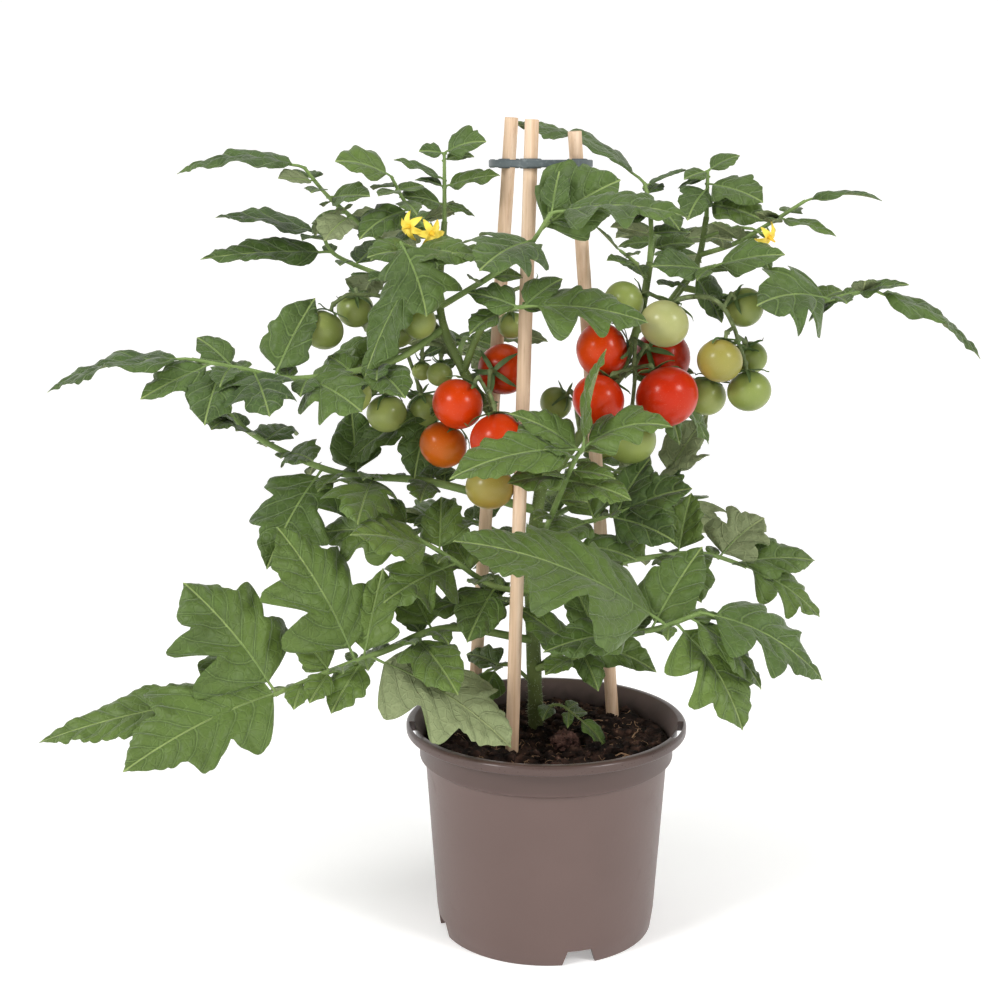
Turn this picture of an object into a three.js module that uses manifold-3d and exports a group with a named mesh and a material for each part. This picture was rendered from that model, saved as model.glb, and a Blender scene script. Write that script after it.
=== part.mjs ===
// A cherry tomato plant, staked in a nursery pot. Millimetres, +Z up, the front at -Y.
// The origin is the middle of the pot's underside, on the surface that the pot stands on.
import * as THREE from 'three';
import { mergeVertices } from 'three/addons/utils/BufferGeometryUtils.js';
import Module from 'manifold-3d';

const wasm = await Module();
wasm.setup();

// ---------------------------------------------------------------- driving dimensions

const GAP = 0.3; // between two pieces that touch on the real plant
const CLEARANCE = 0.8; // least distance from a leaflet to any other node
const FINEST = 0.15; // detail smaller than this is smoothed away where solids are joined
const FULL_TURN = 2 * Math.PI;

const POT = {
  height: 130,
  lipRadius: 85,
  lipHeight: 6,
  mouthRadius: 78.5,
  collarRadius: 77,
  collarHeight: 16,
  shoulderRadius: 73.5,
  footRadius: 66,
  wall: 1.8,
  floorTop: 12, // the floor stands above the notches in the foot
  dishRadius: 25, // the middle of the floor is pressed down to the ground
  sides: 30,
};
const NOTCH = { width: 15, height: 9, slope: 3, bearings: [-73.5, 16.5, 106.5, 196.5] };
const SLOT = { inner: 79.6, outer: 83.2, halfAngle: 11, bearings: [-15, 195] };
const DRAIN = { count: 4, radius: 4, ring: 46 };

const SOIL_TOP = 119;

const STICK = { radius: 4, bottom: 70, sides: 9 };
const STICKS = {
  front: { soil: [-21, -26, 119], ring: [-11, -22, 461], top: 485 },
  right: { soil: [43, 37, 119], ring: [16, 6, 461], top: 479 },
  left: { soil: [-45, 36, 119], ring: [-23, 16, 461], top: 487 },
};
const CLIP = { centre: [-4.8, 0], z: 461, inner: 27.2, outer: 29.7, height: 5.5, grip: 2.2 };

// The stem and its side shoots, each a bent, tapering tube: points, first and last radius.
const SHOOTS = {
  main: { points: [[-6, 20, 96], [-6, 15, 128], [-8, 2, 179], [-9, 2, 228], [-4, 4, 271]], girth: [5, 3.8] },
  left: { points: [[-4, 4, 271], [-21, -2, 302], [-38, -6, 325], [-49, -8, 343]], girth: [3.4, 2.9] },
  leftTip: {
    points: [[-49, -8, 343], [-59, -6, 364], [-63, -4, 384], [-62, 0, 405], [-60, 5, 428]],
    girth: [2.7, 1.8],
  },
  leftBranch: { points: [[-49, -8, 343], [-42, -14, 362], [-36, -18, 373]], girth: [2.3, 1.9] },
  right: {
    points: [[-4, 4, 271], [17, 4, 300], [36, 6, 328], [47, 10, 350], [55, 14, 375], [60, 18, 404]],
    girth: [3.4, 2.2],
  },
  rightBranch: { points: [[52, 12, 364], [74, 22, 382], [89, 28, 404], [94, 30, 430]], girth: [2.3, 1.7] },
};

// A leaflet's half outline: place on the midrib, half width as a share of the length, lift of the edge.
// The points of its lobes and the bays between them take turns.
const OUTLINES = {
  cut: [[0.22, 0.31, -2], [0.36, 0.18, 18], [0.5, 0.26, 0], [0.64, 0.13, 18], [0.77, 0.14, 4]],
  toothed: [[0.24, 0.26, 4], [0.44, 0.21, 16], [0.65, 0.16, 4]],
  plain: [[0.28, 0.25, 8], [0.6, 0.18, 12]],
};
const BLADE = {
  ribThickness: 1.3,
  stalkHalf: 1.1,
  stalkEnd: 0.1,
  sweep: 0.45,
  root: 1.6,
  roll: 12,
  skew: 0.12,
};
const SEPAL_THICKNESS = 0.8;
const LEAN = 26; // how far leaflets tip their upper side towards the front, in degrees

// Ways to bend a leaflet out of the way, mildest first: added rise and added turn, in degrees.
const BENDS = [
  [0, 0], [8, 0], [-8, 0], [0, 12], [0, -12], [16, 0], [-16, 0], [10, 16], [10, -16], [-10, 16], [-10, -16],
  [26, 0], [-26, 0], [0, 26], [0, -26], [22, 24], [22, -24], [-22, 24], [-22, -24], [38, 0], [-38, 0],
  [0, 42], [0, -42], [34, 40], [34, -40], [-34, 40], [-34, -40], [54, 0], [-54, 0], [0, 64], [0, -64],
];

// Every compound leaf: the points of its stalk, and its leaflets as [place on the stalk, outline,
// heading, rise, length, fall towards the tip, spread, lean]. Angles in degrees.
// A leaflet without a lean of its own takes its leaf's, or the common one.
const LEAVES = {
  leaf_low_left: {
    lean: 16,
    stalk: [[-8, 1, 179], [-59, -22, 193], [-97, -42, 184], [-125, -56, 177], [-158, -72, 167]],
    girth: [2.6, 1.3],
    leaflets: [
      [1.0, 'toothed', -175, 0, 131, 20, 0.65, 30],
      [0.92, 'cut', -160, -6, 104, 22, 1, 40],
      [0.97, 'cut', 170, 60, 82, 20, 1.4, 50],
      [0.75, 'plain', 150, 45, 30, 10, 1.4, 45],
      [0.75, 'plain', 245, -20, 26, 15, 1.3, 45],
      [0.62, 'cut', 170, 70, 90, 20, 1.2, 50],
      [0.58, 'toothed', 60, 72, 54, 10, 1.1, 40],
      [0.55, 'cut', -20, -12, 99, 30, 1.2],
      [0.58, 'plain', 232, -35, 38, 15, 1.3, 40],
      [0.36, 'toothed', -60, -12, 56, 20, 1.2, 45],
      [0.3, 'toothed', 125, 45, 54, 15, 1.2, 45],
    ],
  },
  leaf_big_front: {
    stalk: [[-5, 2, 161], [19, -22, 177], [41, -42, 194], [62, -58, 203], [84, -72, 216]],
    girth: [2.4, 1.3],
    leaflets: [
      [1.0, 'cut', -10, -5, 79, 45, 1.1],
      [0.85, 'cut', -38, -30, 72, 40, 1.2],
      [0.8, 'cut', 190, 40, 135, 32, 1, 38],
      [0.93, 'toothed', -18, -22, 58, 40, 1.1],
      [0.6, 'toothed', 195, 5, 56, 25, 1.1, 40],
      [0.7, 'toothed', 45, 50, 62, 15, 1.1, 40],
      [0.37, 'toothed', 135, 65, 46, 20, 1.2, 40],
      [0.25, 'toothed', 175, 45, 46, 15, 1.2, 45],
    ],
  },
  leaf_centre_front: {
    stalk: [[-4, -1, 239], [5, -30, 271], [13, -52, 297], [18, -60, 307]],
    girth: [2, 1.2],
    leaflets: [
      [0.95, 'toothed', 195, 8, 78, 35, 0.9, 28],
      [1.0, 'toothed', -20, 88, 57, 20, 0.8],
      [0.97, 'cut', -5, 45, 54, 60, 1],
      [0.9, 'toothed', 170, 42, 46, 30, 0.9],
      [0.55, 'toothed', 205, 5, 38, 15, 1.2, 45],
      [0.5, 'toothed', -20, 0, 40, 25, 1.2, 45],
    ],
  },
  leaf_mid_left: {
    stalk: [[-9, 0, 209], [-33, -10, 216], [-56, -20, 234], [-77, -26, 249]],
    girth: [2.1, 1.2],
    leaflets: [
      [1.0, 'cut', 160, 10, 64, 25, 1.2, 40],
      [0.85, 'toothed', 214, 25, 56, 20, 1.3, 50],
      [0.78, 'toothed', 90, 50, 42, 20, 1.3, 50],
      [0.62, 'cut', 220, -5, 56, 20, 1.3, 50],
      [0.5, 'toothed', 120, 40, 36, 15, 1.2, 45],
      [0.3, 'toothed', -105, -25, 44, 20, 1.3, 50],
    ],
  },
  leaf_left_long: {
    stalk: [[-8, 3, 259], [-70, 8, 275], [-124, 14, 279], [-170, 14, 299], [-193, 12, 319]],
    girth: [2.8, 1.3],
    leaflets: [
      [1.0, 'toothed', 180, 40, 38, 10, 1.2, 40],
      [0.93, 'toothed', -105, 0, 30, 10, 1.2, 50],
      [0.74, 'toothed', 75, 15, 42, 20, 1.2, 40],
      [0.55, 'cut', -116, -25, 80, 25, 1.1, 60],
      [0.4, 'cut', -95, -10, 62, 25, 1.2, 60],
      [0.66, 'toothed', -60, 12, 38, 20, 1.3, 50],
      [0.45, 'toothed', 100, 60, 48, 20, 1.2, 40],
      [0.25, 'toothed', 80, 25, 36, 20, 1.2],
    ],
  },
  leaf_left_high: {
    lean: 12,
    stalk: [[-61, -5, 367], [-91, -22, 350], [-141, -32, 342], [-172, -38, 348], [-200, -42, 354]],
    girth: [2.2, 1.1],
    leaflets: [
      [1.0, 'toothed', 185, 8, 84, 40, 0.9, 20],
      [0.9, 'toothed', 205, -10, 45, 10, 1.1, 30],
      [0.8, 'plain', 150, 42, 30, 20, 1.3, 40],
      [0.85, 'toothed', -98, -28, 46, 20, 1.4, 50],
      [0.7, 'cut', -72, -12, 50, 20, 1.4, 50],
      [0.6, 'toothed', 50, 60, 54, 15, 1.1, 30],
      [0.48, 'cut', -42, -8, 48, 20, 1.4, 50],
      [0.3, 'toothed', -60, -8, 42, 20, 1.3, 45],
    ],
  },
  leaf_top_left_a: {
    lean: 8,
    stalk: [[-62, -4, 386], [-90, -8, 413], [-113, -12, 432], [-126, -14, 444], [-138, -16, 459]],
    girth: [1.7, 1],
    leaflets: [
      [1.0, 'toothed', 185, 20, 73, 45, 0.9, 20],
      [0.88, 'plain', 220, 10, 24, 10, 1.3, 30],
      [0.72, 'toothed', -35, 10, 30, 15, 1.3, 35],
      [0.6, 'toothed', 125, -20, 34, 20, 1.2, 30],
      [0.5, 'toothed', 250, -10, 36, 20, 1.2, 40],
    ],
  },
  leaf_top_left_b: {
    lean: 14,
    stalk: [[-63, -3, 380], [-82, 22, 392], [-105, 33, 398], [-127, 36, 408], [-134, 36, 420]],
    girth: [1.8, 1],
    leaflets: [
      [1.0, 'toothed', 185, 22, 64, 25, 1.1, 24],
      [0.78, 'toothed', 195, 4, 78, 12, 0.8, 16],
      [0.6, 'plain', 60, 30, 34, 10, 1.2],
      [0.45, 'toothed', 110, -10, 44, 30, 1.2],
    ],
  },
  leaf_tip_left: {
    lean: 14,
    stalk: [[-61, 2, 412], [-76, -8, 431], [-83, -14, 442], [-89, -18, 454]],
    girth: [1.4, 0.9],
    leaflets: [
      [1.0, 'toothed', 200, 35, 34, 40, 1.4, 36],
      [0.8, 'plain', 240, -5, 20, 5, 1.4, 36],
      [0.8, 'plain', 45, 10, 20, 5, 1.4, 36],
      [0.45, 'toothed', 215, -5, 38, 40, 1.2, 36],
    ],
  },
  leaf_tip_middle: {
    lean: 14,
    stalk: [[-60, 5, 427], [-60, 8, 448], [-60, 9, 467]],
    girth: [1.4, 0.9],
    leaflets: [
      [1.0, 'toothed', -10, 35, 26, 40, 1.5, 40],
      [1.0, 'plain', 190, 15, 15, 20, 1.4, 40],
      [0.6, 'toothed', 195, 32, 32, 20, 1.1, 24],
      [0.5, 'toothed', -15, 22, 34, 20, 1.1, 24],
      [0.25, 'toothed', 210, 25, 30, 30, 1.2, 30],
    ],
  },
  leaf_front_hang: {
    stalk: [[-62, -2, 397], [-71, -26, 411], [-82, -46, 418]],
    girth: [1.5, 1],
    leaflets: [
      [1.0, 'cut', -50, -45, 45, 30, 1.6],
      [0.75, 'toothed', -10, -5, 40, 25, 1.3, 36],
      [0.6, 'toothed', 220, 10, 36, 25, 1.3, 36],
      [0.45, 'toothed', -165, -52, 78, 20, 0.9, 40],
    ],
  },
  leaf_centre_high: {
    stalk: [[-61, -6, 381], [-34, -36, 399], [-15, -46, 413], [0, -54, 435]],
    girth: [1.9, 1.1],
    leaflets: [
      [1.0, 'cut', -25, 15, 80, 32, 0.9, 34],
      [0.85, 'toothed', 20, 40, 56, 20, 1.5, 60],
      [0.78, 'cut', -120, 0, 60, 25, 1.2, 50],
      [1.0, 'plain', 70, 70, 26, 20, 1.3, 50],
      [0.55, 'toothed', 200, 20, 36, 20, 1.3, 40],
      [0.4, 'plain', 125, 45, 26, 10, 1.3, 40],
    ],
  },
  leaf_top_arch: {
    lean: 8,
    stalk: [[60, 20, 404], [61, 24, 420], [60, 28, 437], [57, 31, 450]],
    girth: [1.7, 1.1],
    leaflets: [
      [1.0, 'toothed', 172, 45, 90, 44, 1],
      [0.75, 'toothed', -55, -18, 34, 25, 1.2],
      [0.95, 'plain', 15, 28, 28, 15, 1.3],
      [0.55, 'toothed', 215, 12, 38, 22, 1.2],
    ],
  },
  leaf_small_middle: {
    lean: 14,
    stalk: [[58, 16, 394], [51, 4, 404], [41, -4, 412]],
    girth: [1.3, 0.9],
    leaflets: [
      [1.0, 'plain', 205, 45, 22, 5, 1.1],
      [0.6, 'plain', 215, 10, 20, 10, 1.2],
      [0.5, 'plain', -80, -15, 16, 10, 1.2],
    ],
  },
  leaf_tip_right: {
    lean: 14,
    stalk: [[94, 30, 429], [94, 29, 444], [94, 29, 457]],
    girth: [1.4, 0.9],
    leaflets: [
      [1.0, 'plain', 10, 40, 22, 30, 1.4, 36],
      [1.0, 'plain', 210, -5, 18, 20, 1.4, 36],
      [0.7, 'toothed', -40, -2, 40, 25, 1.3, 40],
      [0.6, 'toothed', 235, -20, 30, 35, 1.3, 40],
      [0.3, 'toothed', -35, -20, 40, 20, 1.2, 36],
    ],
  },
  leaf_right_high: {
    lean: 10,
    stalk: [[91, 28, 408], [109, 16, 415], [128, 8, 427], [147, 2, 440]],
    girth: [1.6, 1],
    leaflets: [
      [1.0, 'toothed', -5, 22, 45, 42, 0.9],
      [0.75, 'toothed', -25, -5, 36, 20, 1.1],
      [0.7, 'plain', 235, 25, 22, 15, 1.2],
      [0.45, 'toothed', -50, -30, 30, 30, 1.1],
      [0.4, 'toothed', 225, 30, 30, 15, 1.2],
    ],
  },
  leaf_right_long: {
    lean: 6,
    stalk: [[80, 24, 389], [114, 24, 382], [145, -4, 381], [168, -15, 387], [182, -19, 391]],
    girth: [2.1, 1.1],
    leaflets: [
      [1.0, 'toothed', -5, -12, 76, 38, 0.8, 14],
      [0.84, 'toothed', -30, 22, 32, 20, 1.2, 30],
      [0.66, 'cut', -150, 20, 54, 42, 1.5, 70],
      [0.72, 'plain', 135, -30, 26, 10, 1.3, 30],
      [0.35, 'toothed', 120, 5, 44, 20, 1.3, 30],
    ],
  },
  leaf_right_dark: {
    lean: 20,
    stalk: [[73, 22, 382], [82, 3, 397], [95, -10, 404]],
    girth: [1.6, 1],
    leaflets: [
      [1.0, 'toothed', -12, 12, 40, 20, 1.3, 36],
      [0.8, 'toothed', 200, 12, 34, 15, 1.3, 36],
      [0.6, 'plain', -15, -50, 36, 10, 1.3, 60],
    ],
  },
  leaf_centre_middle: {
    stalk: [[-36, -20, 374], [-24, -36, 381], [-13, -48, 384]],
    girth: [1.7, 1.1],
    leaflets: [
      [1.0, 'cut', -5, 6, 68, 26, 1.1, 36],
      [0.8, 'toothed', 160, 50, 32, 20, 1.2, 36],
      [0.9, 'toothed', 30, 40, 30, 20, 1.2, 36],
    ],
  },
  leaf_low_right: {
    stalk: [[-8, 4, 213], [18, 12, 219], [58, 20, 225], [95, 30, 226], [124, 34, 217]],
    girth: [2.3, 1.2],
    leaflets: [
      [1.0, 'cut', -10, -18, 56, 30, 1.2, 36],
      [0.85, 'cut', 40, 38, 46, 25, 1.4, 40],
      [0.95, 'toothed', 12, 12, 52, 25, 1.2, 36],
      [0.65, 'toothed', 60, 70, 40, 15, 1.2, 36],
      [0.6, 'toothed', -70, -10, 52, 20, 1.3, 50],
      [0.38, 'toothed', -105, -8, 46, 20, 1.2, 50],
      [0.42, 'toothed', 75, 25, 44, 20, 1.2],
    ],
  },
  leaf_right_middle: {
    stalk: [[-5, 0, 250], [23, -4, 253], [44, -10, 261]],
    girth: [1.8, 1.1],
    leaflets: [
      [1.0, 'toothed', -15, 32, 44, 22, 1.3, 40],
      [0.92, 'toothed', 25, 65, 38, 20, 1.3, 40],
      [0.78, 'toothed', -32, 8, 46, 25, 1.3, 45],
      [0.55, 'toothed', 235, 10, 40, 15, 1.2, 45],
      [0.6, 'toothed', 110, 45, 42, 15, 1.2, 40],
    ],
  },
  leaf_right_pale: {
    stalk: [[-3, 6, 268], [20, 46, 262], [50, 56, 264], [76, 58, 268]],
    girth: [1.9, 1.1],
    leaflets: [
      [1.0, 'toothed', 30, 58, 50, 15, 1],
      [0.9, 'toothed', -20, 30, 40, 20, 1.1],
      [0.75, 'plain', 85, 50, 36, 20, 1.2],
      [0.5, 'toothed', 80, 10, 44, 30, 1.2],
    ],
  },
  leaf_back_low: {
    lean: -30,
    stalk: [[-7, 8, 170], [-4, 50, 196], [6, 90, 204], [14, 120, 196]],
    girth: [2.4, 1.2],
    leaflets: [
      [1.0, 'cut', 80, -5, 78, 40, 1.1],
      [0.85, 'toothed', 30, 10, 58, 35, 1.1],
      [0.82, 'toothed', 140, 10, 56, 35, 1.1],
      [0.6, 'toothed', 10, 20, 48, 30, 1.1],
      [0.56, 'toothed', 170, 15, 50, 30, 1.1],
    ],
  },
  leaf_back_left: {
    lean: -30,
    stalk: [[-9, 4, 200], [-24, 60, 228], [-62, 94, 236], [-88, 116, 228]],
    girth: [2.3, 1.2],
    leaflets: [
      [1.0, 'cut', 130, -5, 74, 40, 1.1],
      [0.85, 'toothed', 75, 15, 54, 35, 1.1],
      [0.8, 'toothed', 190, 10, 56, 35, 1.1],
      [0.58, 'toothed', 215, 5, 46, 30, 1.1],
      [0.5, 'plain', 60, 35, 34, 20, 1.2],
    ],
  },
  leaf_back_right: {
    lean: -30,
    stalk: [[-6, 5, 238], [12, 62, 246], [48, 92, 250], [74, 108, 240]],
    girth: [2.2, 1.2],
    leaflets: [
      [1.0, 'cut', 45, -5, 70, 40, 1.1],
      [0.85, 'toothed', 100, 15, 52, 35, 1.1],
      [0.8, 'toothed', -15, 5, 54, 35, 1.1],
      [0.5, 'plain', 120, 40, 34, 20, 1.2],
    ],
  },
  leaf_back_middle: {
    lean: -30,
    stalk: [[-38, -4, 326], [-52, 34, 343], [-50, 70, 354], [-44, 94, 348]],
    girth: [2, 1.1],
    leaflets: [
      [1.0, 'cut', 80, -5, 66, 40, 1.1],
      [0.85, 'toothed', 20, 15, 54, 35, 1.1],
      [0.8, 'toothed', 150, 10, 52, 35, 1.1],
      [0.55, 'toothed', 185, 25, 40, 25, 1.1],
    ],
  },
  leaf_back_high_left: {
    lean: -30,
    stalk: [[-62, 2, 404], [-70, 40, 424], [-82, 72, 428], [-88, 94, 420]],
    girth: [1.7, 1],
    leaflets: [
      [1.0, 'toothed', 100, 0, 56, 40, 1.1],
      [0.8, 'toothed', 50, 20, 44, 30, 1.1],
      [0.76, 'toothed', 165, 10, 46, 30, 1.1],
      [0.5, 'plain', 30, 20, 32, 20, 1.2],
    ],
  },
  leaf_back_high_right: {
    lean: -30,
    stalk: [[59, 20, 396], [66, 56, 414], [74, 86, 416], [82, 108, 406]],
    girth: [1.7, 1],
    leaflets: [
      [1.0, 'toothed', 70, 0, 56, 40, 1.1],
      [0.8, 'toothed', 15, 15, 46, 30, 1.1],
      [0.76, 'toothed', 130, 15, 46, 30, 1.1],
      [0.5, 'plain', 150, 20, 34, 20, 1.2],
    ],
  },
};

// Every truss: the points of its stalk, and its fruit as [place on the stalk, centre, radius, ripeness].
const TRUSSES = {
  truss_left: {
    stalk: [[-30, -4, 314], [-34, -14, 326], [-35, -24, 332], [-34, -32, 334]],
    fruit: [
      [0.7, [-52, -30, 327], 15, 'red'],
      [0.45, [-26, 2, 343], 15, 'red'],
      [1.0, [-29, -46, 309], 16, 'red'],
      [0.3, [-61, -15, 301], 14, 'orange'],
      [0.2, [-34, -20, 277], 14, 'turning'],
    ],
  },
  truss_left_high: {
    stalk: [[-53, -7, 351], [-70, 5, 373], [-95, 2, 385], [-116, -4, 387]],
    fruit: [
      [1.0, [-130, -8, 367], 12, 'green'],
      [0.9, [-113, 13, 377], 11, 'green'],
      [0.7, [-88, -2, 366], 11, 'green'],
      [0.45, [-74, -22, 373], 10, 'green'],
    ],
  },
  truss_left_low: {
    stalk: [[-46, -7, 338], [-63, 4, 357], [-84, 4, 354], [-103, 2, 347]],
    fruit: [
      [1.0, [-115, -6, 330], 12.5, 'green'],
      [0.85, [-95, 8, 316], 12, 'green'],
      [0.65, [-73, 20, 316], 11, 'green'],
      [0.3, [-63, -6, 341], 7.5, 'green'],
      [0.5, [-74, 10, 341], 6, 'green'],
    ],
  },
  truss_middle: {
    stalk: [[-37, -17, 373], [-26, -2, 386], [-16, 12, 390]],
    fruit: [
      [1.0, [-4, 24, 386], 7, 'green'],
      [0.6, [-21, 8, 368], 8.5, 'green'],
    ],
  },
  truss_right: {
    stalk: [[38, 6, 331], [46, -4, 343], [50, -6, 344], [50, -8, 336]],
    fruit: [
      [0.6, [31, -7, 355], 16, 'red'],
      [0.6, [68, 20, 347], 17.5, 'red'],
      [0.6, [67, -28, 331], 18, 'red'],
      [0.55, [28, -26, 329], 15, 'red'],
      [1.0, [48, -9, 303], 15, 'green'],
    ],
  },
  truss_right_low: {
    stalk: [[20, 6, 303], [18, 24, 318], [22, 36, 318]],
    fruit: [
      [1.0, [34, 44, 292], 12, 'green'],
      [0.6, [6, 38, 318], 10, 'green'],
    ],
  },
  truss_right_high: {
    stalk: [[65, 18, 375], [76, 0, 384], [90, -9, 386], [99, -12, 381], [106, -13, 369], [109, -12, 360]],
    fruit: [
      [0.12, [43, -8, 383], 12, 'green'],
      [0.3, [65, -24, 372], 14, 'pale'],
      [0.62, [114, 3, 379], 11.5, 'green'],
      [0.8, [97, -24, 351], 13, 'turning'],
      [0.9, [119, 8, 349], 10, 'green'],
      [1.0, [116, -12, 332], 12.5, 'green'],
      [0.95, [93, 4, 327], 12, 'green'],
    ],
  },
};
const FRUIT = {
  flatness: 0.93,
  sides: 8,
  rows: 6,
  smaller: [14.5, 12.6], // a fruit has one side and one row fewer below each of these radii
  stalkRadius: 1.7,
  pedicelRadius: 1.1,
  calyx: 0.7,
};

// Sprays of blossom: the points of the stalk, and each blossom as [place on the stalk, centre, radius].
const SPRAYS = {
  spray_left: {
    stalk: [[-62, 0, 400], [-68, -14, 416], [-72, -26, 426]],
    blossoms: [[1.0, [-78, -34, 427], 8.5], [0.8, [-66, -34, 423], 8.5], [0.6, [-63, -30, 409], 8]],
  },
  spray_right: {
    stalk: [[93, 29, 418], [108, 16, 424], [118, 8, 424]],
    blossoms: [[1.0, [126, 0, 420], 8]],
  },
};

const MATERIALS = {
  pot: { color: 0x8c7c78, roughness: 0.5, metalness: 0 },
  soil: { color: 0x33241d, roughness: 1, metalness: 0 },
  wood: { color: 0xe2bd92, roughness: 0.75, metalness: 0 },
  clip: { color: 0x4b5754, roughness: 0.45, metalness: 0 },
  stem: { color: 0x7f9a52, roughness: 0.7, metalness: 0 },
  leaf: { color: 0x46663a, roughness: 0.65, metalness: 0 },
  truss: { color: 0x9aab5e, roughness: 0.5, metalness: 0 },
  petal: { color: 0xf0cf46, roughness: 0.6, metalness: 0 },
  red: { color: 0xdc3418, roughness: 0.25, metalness: 0 },
  orange: { color: 0xc9661d, roughness: 0.25, metalness: 0 },
  turning: { color: 0xa9a252, roughness: 0.3, metalness: 0 },
  pale: { color: 0xa9bb84, roughness: 0.3, metalness: 0 },
};

// ---------------------------------------------------------------- solids and curves

const Z_UP = new THREE.Vector3(0, 0, 1);
const vector = (point) => new THREE.Vector3(...point);
const radians = THREE.MathUtils.degToRad;

// A closed geometry as a solid that can be joined and cut.
function toSolid(geometry) {
  const bare = geometry.clone();
  bare.deleteAttribute('normal');
  bare.deleteAttribute('uv');
  const merged = mergeVertices(bare, 1e-4);
  return new wasm.Manifold(new wasm.Mesh({
    numProp: 3,
    vertProperties: new Float32Array(merged.attributes.position.array),
    triVerts: new Uint32Array(merged.index.array),
  }));
}

function toGeometry(solid) {
  const mesh = solid.getMesh();
  const geometry = new THREE.BufferGeometry();
  geometry.setAttribute('position', new THREE.BufferAttribute(mesh.vertProperties, 3));
  geometry.setIndex(new THREE.BufferAttribute(mesh.triVerts, 1));
  return geometry;
}

const join = (solids) => wasm.Manifold.union(solids);

// The largest piece of a solid, once cutting has left scraps.
function mainBody(solid) {
  return solid.decompose().sort((a, b) => b.volume() - a.volume())[0];
}

function curveThrough(points) {
  return new THREE.CatmullRomCurve3(points.map(vector), false, 'catmullrom', 0.5);
}

// A tapering tube with closed ends: a cylinder bent along a curve.
function bentTube(points, firstRadius, lastRadius, sides, stepLength) {
  const curve = curveThrough(points);
  const steps = Math.max(2, Math.round(curve.getLength() / stepLength));
  const geometry = new THREE.CylinderGeometry(lastRadius, firstRadius, 1, sides, steps);
  const frames = curve.computeFrenetFrames(steps);
  const corner = new THREE.Vector3();
  const position = geometry.attributes.position;
  for (let i = 0; i < position.count; i++) {
    corner.fromBufferAttribute(position, i);
    const step = Math.round((corner.y + 0.5) * steps);
    const middle = curve.getPointAt(step / steps);
    middle.addScaledVector(frames.binormals[step], corner.x);
    middle.addScaledVector(frames.normals[step], corner.z);
    position.setXYZ(i, middle.x, middle.y, middle.z);
  }
  return toSolid(geometry);
}

// A ring or cup turned about Z from an outline of [radius, height] that closes on itself.
function turned(outline, sides) {
  const points = [...outline, outline[0]].map(([radius, height]) => new THREE.Vector2(radius, height));
  return toSolid(new THREE.LatheGeometry(points, sides).rotateX(Math.PI / 2));
}

// A flat outline of [x, y] points, raised from one height to another.
function raised(outline, bottom, top) {
  const shape = new THREE.Shape(outline.map(([x, y]) => new THREE.Vector2(x, y)));
  const geometry = new THREE.ExtrudeGeometry(shape, { depth: top - bottom, bevelEnabled: false });
  return toSolid(geometry.translate(0, 0, bottom));
}

// ---------------------------------------------------------------- pot, soil, sticks and clip

function potOutline() {
  const { height, lipRadius, lipHeight, mouthRadius, collarRadius, collarHeight, shoulderRadius } = POT;
  const { footRadius, wall, floorTop, dishRadius } = POT;
  const lipBottom = height - lipHeight;
  const collarBottom = lipBottom - collarHeight;
  return [
    [dishRadius, 0], [dishRadius + wall, floorTop - wall], [footRadius - 2 * wall, floorTop - wall],
    [footRadius - 2 * wall, 0], [footRadius - wall / 2, 0], [footRadius + wall / 2, floorTop],
    [shoulderRadius, collarBottom - 1], [collarRadius, collarBottom + 1], [collarRadius, lipBottom],
    [lipRadius, lipBottom], [lipRadius, height - 1.2], [lipRadius - 1.2, height],
    [mouthRadius + 1.4, height], [mouthRadius, height - 1.6],
    [collarRadius - wall, lipBottom - 2], [collarRadius - wall, collarBottom + 1],
    [shoulderRadius - wall, collarBottom - 3], [footRadius - wall, floorTop],
    [dishRadius, floorTop], [dishRadius - wall, wall], [0, wall], [0, 0],
  ];
}

function makePot() {
  const cuts = [];
  for (const bearing of NOTCH.bearings) {
    const foot = new THREE.Shape([
      new THREE.Vector2(-NOTCH.width / 2 - NOTCH.slope, -1),
      new THREE.Vector2(NOTCH.width / 2 + NOTCH.slope, -1),
      new THREE.Vector2(NOTCH.width / 2, NOTCH.height),
      new THREE.Vector2(-NOTCH.width / 2, NOTCH.height),
    ]);
    const notch = new THREE.ExtrudeGeometry(foot, { depth: 14, bevelEnabled: false });
    notch.rotateX(Math.PI / 2).rotateZ(Math.PI / 2).translate(POT.footRadius - 8, 0, 0);
    cuts.push(toSolid(notch.rotateZ(radians(bearing))));
  }
  for (const bearing of SLOT.bearings) {
    const outline = [];
    for (const [radius, sign] of [[SLOT.inner, 1], [SLOT.outer, -1]]) {
      for (let step = -2; step <= 2; step++) {
        const angle = radians(bearing + (sign * step * SLOT.halfAngle) / 2);
        outline.push([radius * Math.cos(angle), radius * Math.sin(angle)]);
      }
    }
    cuts.push(raised(outline, POT.height - POT.lipHeight - 1, POT.height + 1));
  }
  for (let hole = 0; hole < DRAIN.count; hole++) {
    const angle = (FULL_TURN * hole) / DRAIN.count;
    const drain = new THREE.CylinderGeometry(DRAIN.radius, DRAIN.radius, 6, 6).rotateX(Math.PI / 2);
    drain.translate(DRAIN.ring * Math.cos(angle), DRAIN.ring * Math.sin(angle), POT.floorTop);
    cuts.push(toSolid(drain));
  }
  return turned(potOutline(), POT.sides).subtract(join(cuts)).simplify(FINEST);
}

// The loose surface of the compost, in low waves.
function soilHeight(x, y) {
  const broad = 1.5 * Math.sin(0.09 * x + 1) * Math.cos(0.1 * y);
  const lumps = 1.1 * Math.sin(0.31 * x - 0.22 * y) * Math.cos(0.27 * y + 0.12 * x + 2);
  return SOIL_TOP + broad + lumps;
}

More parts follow.
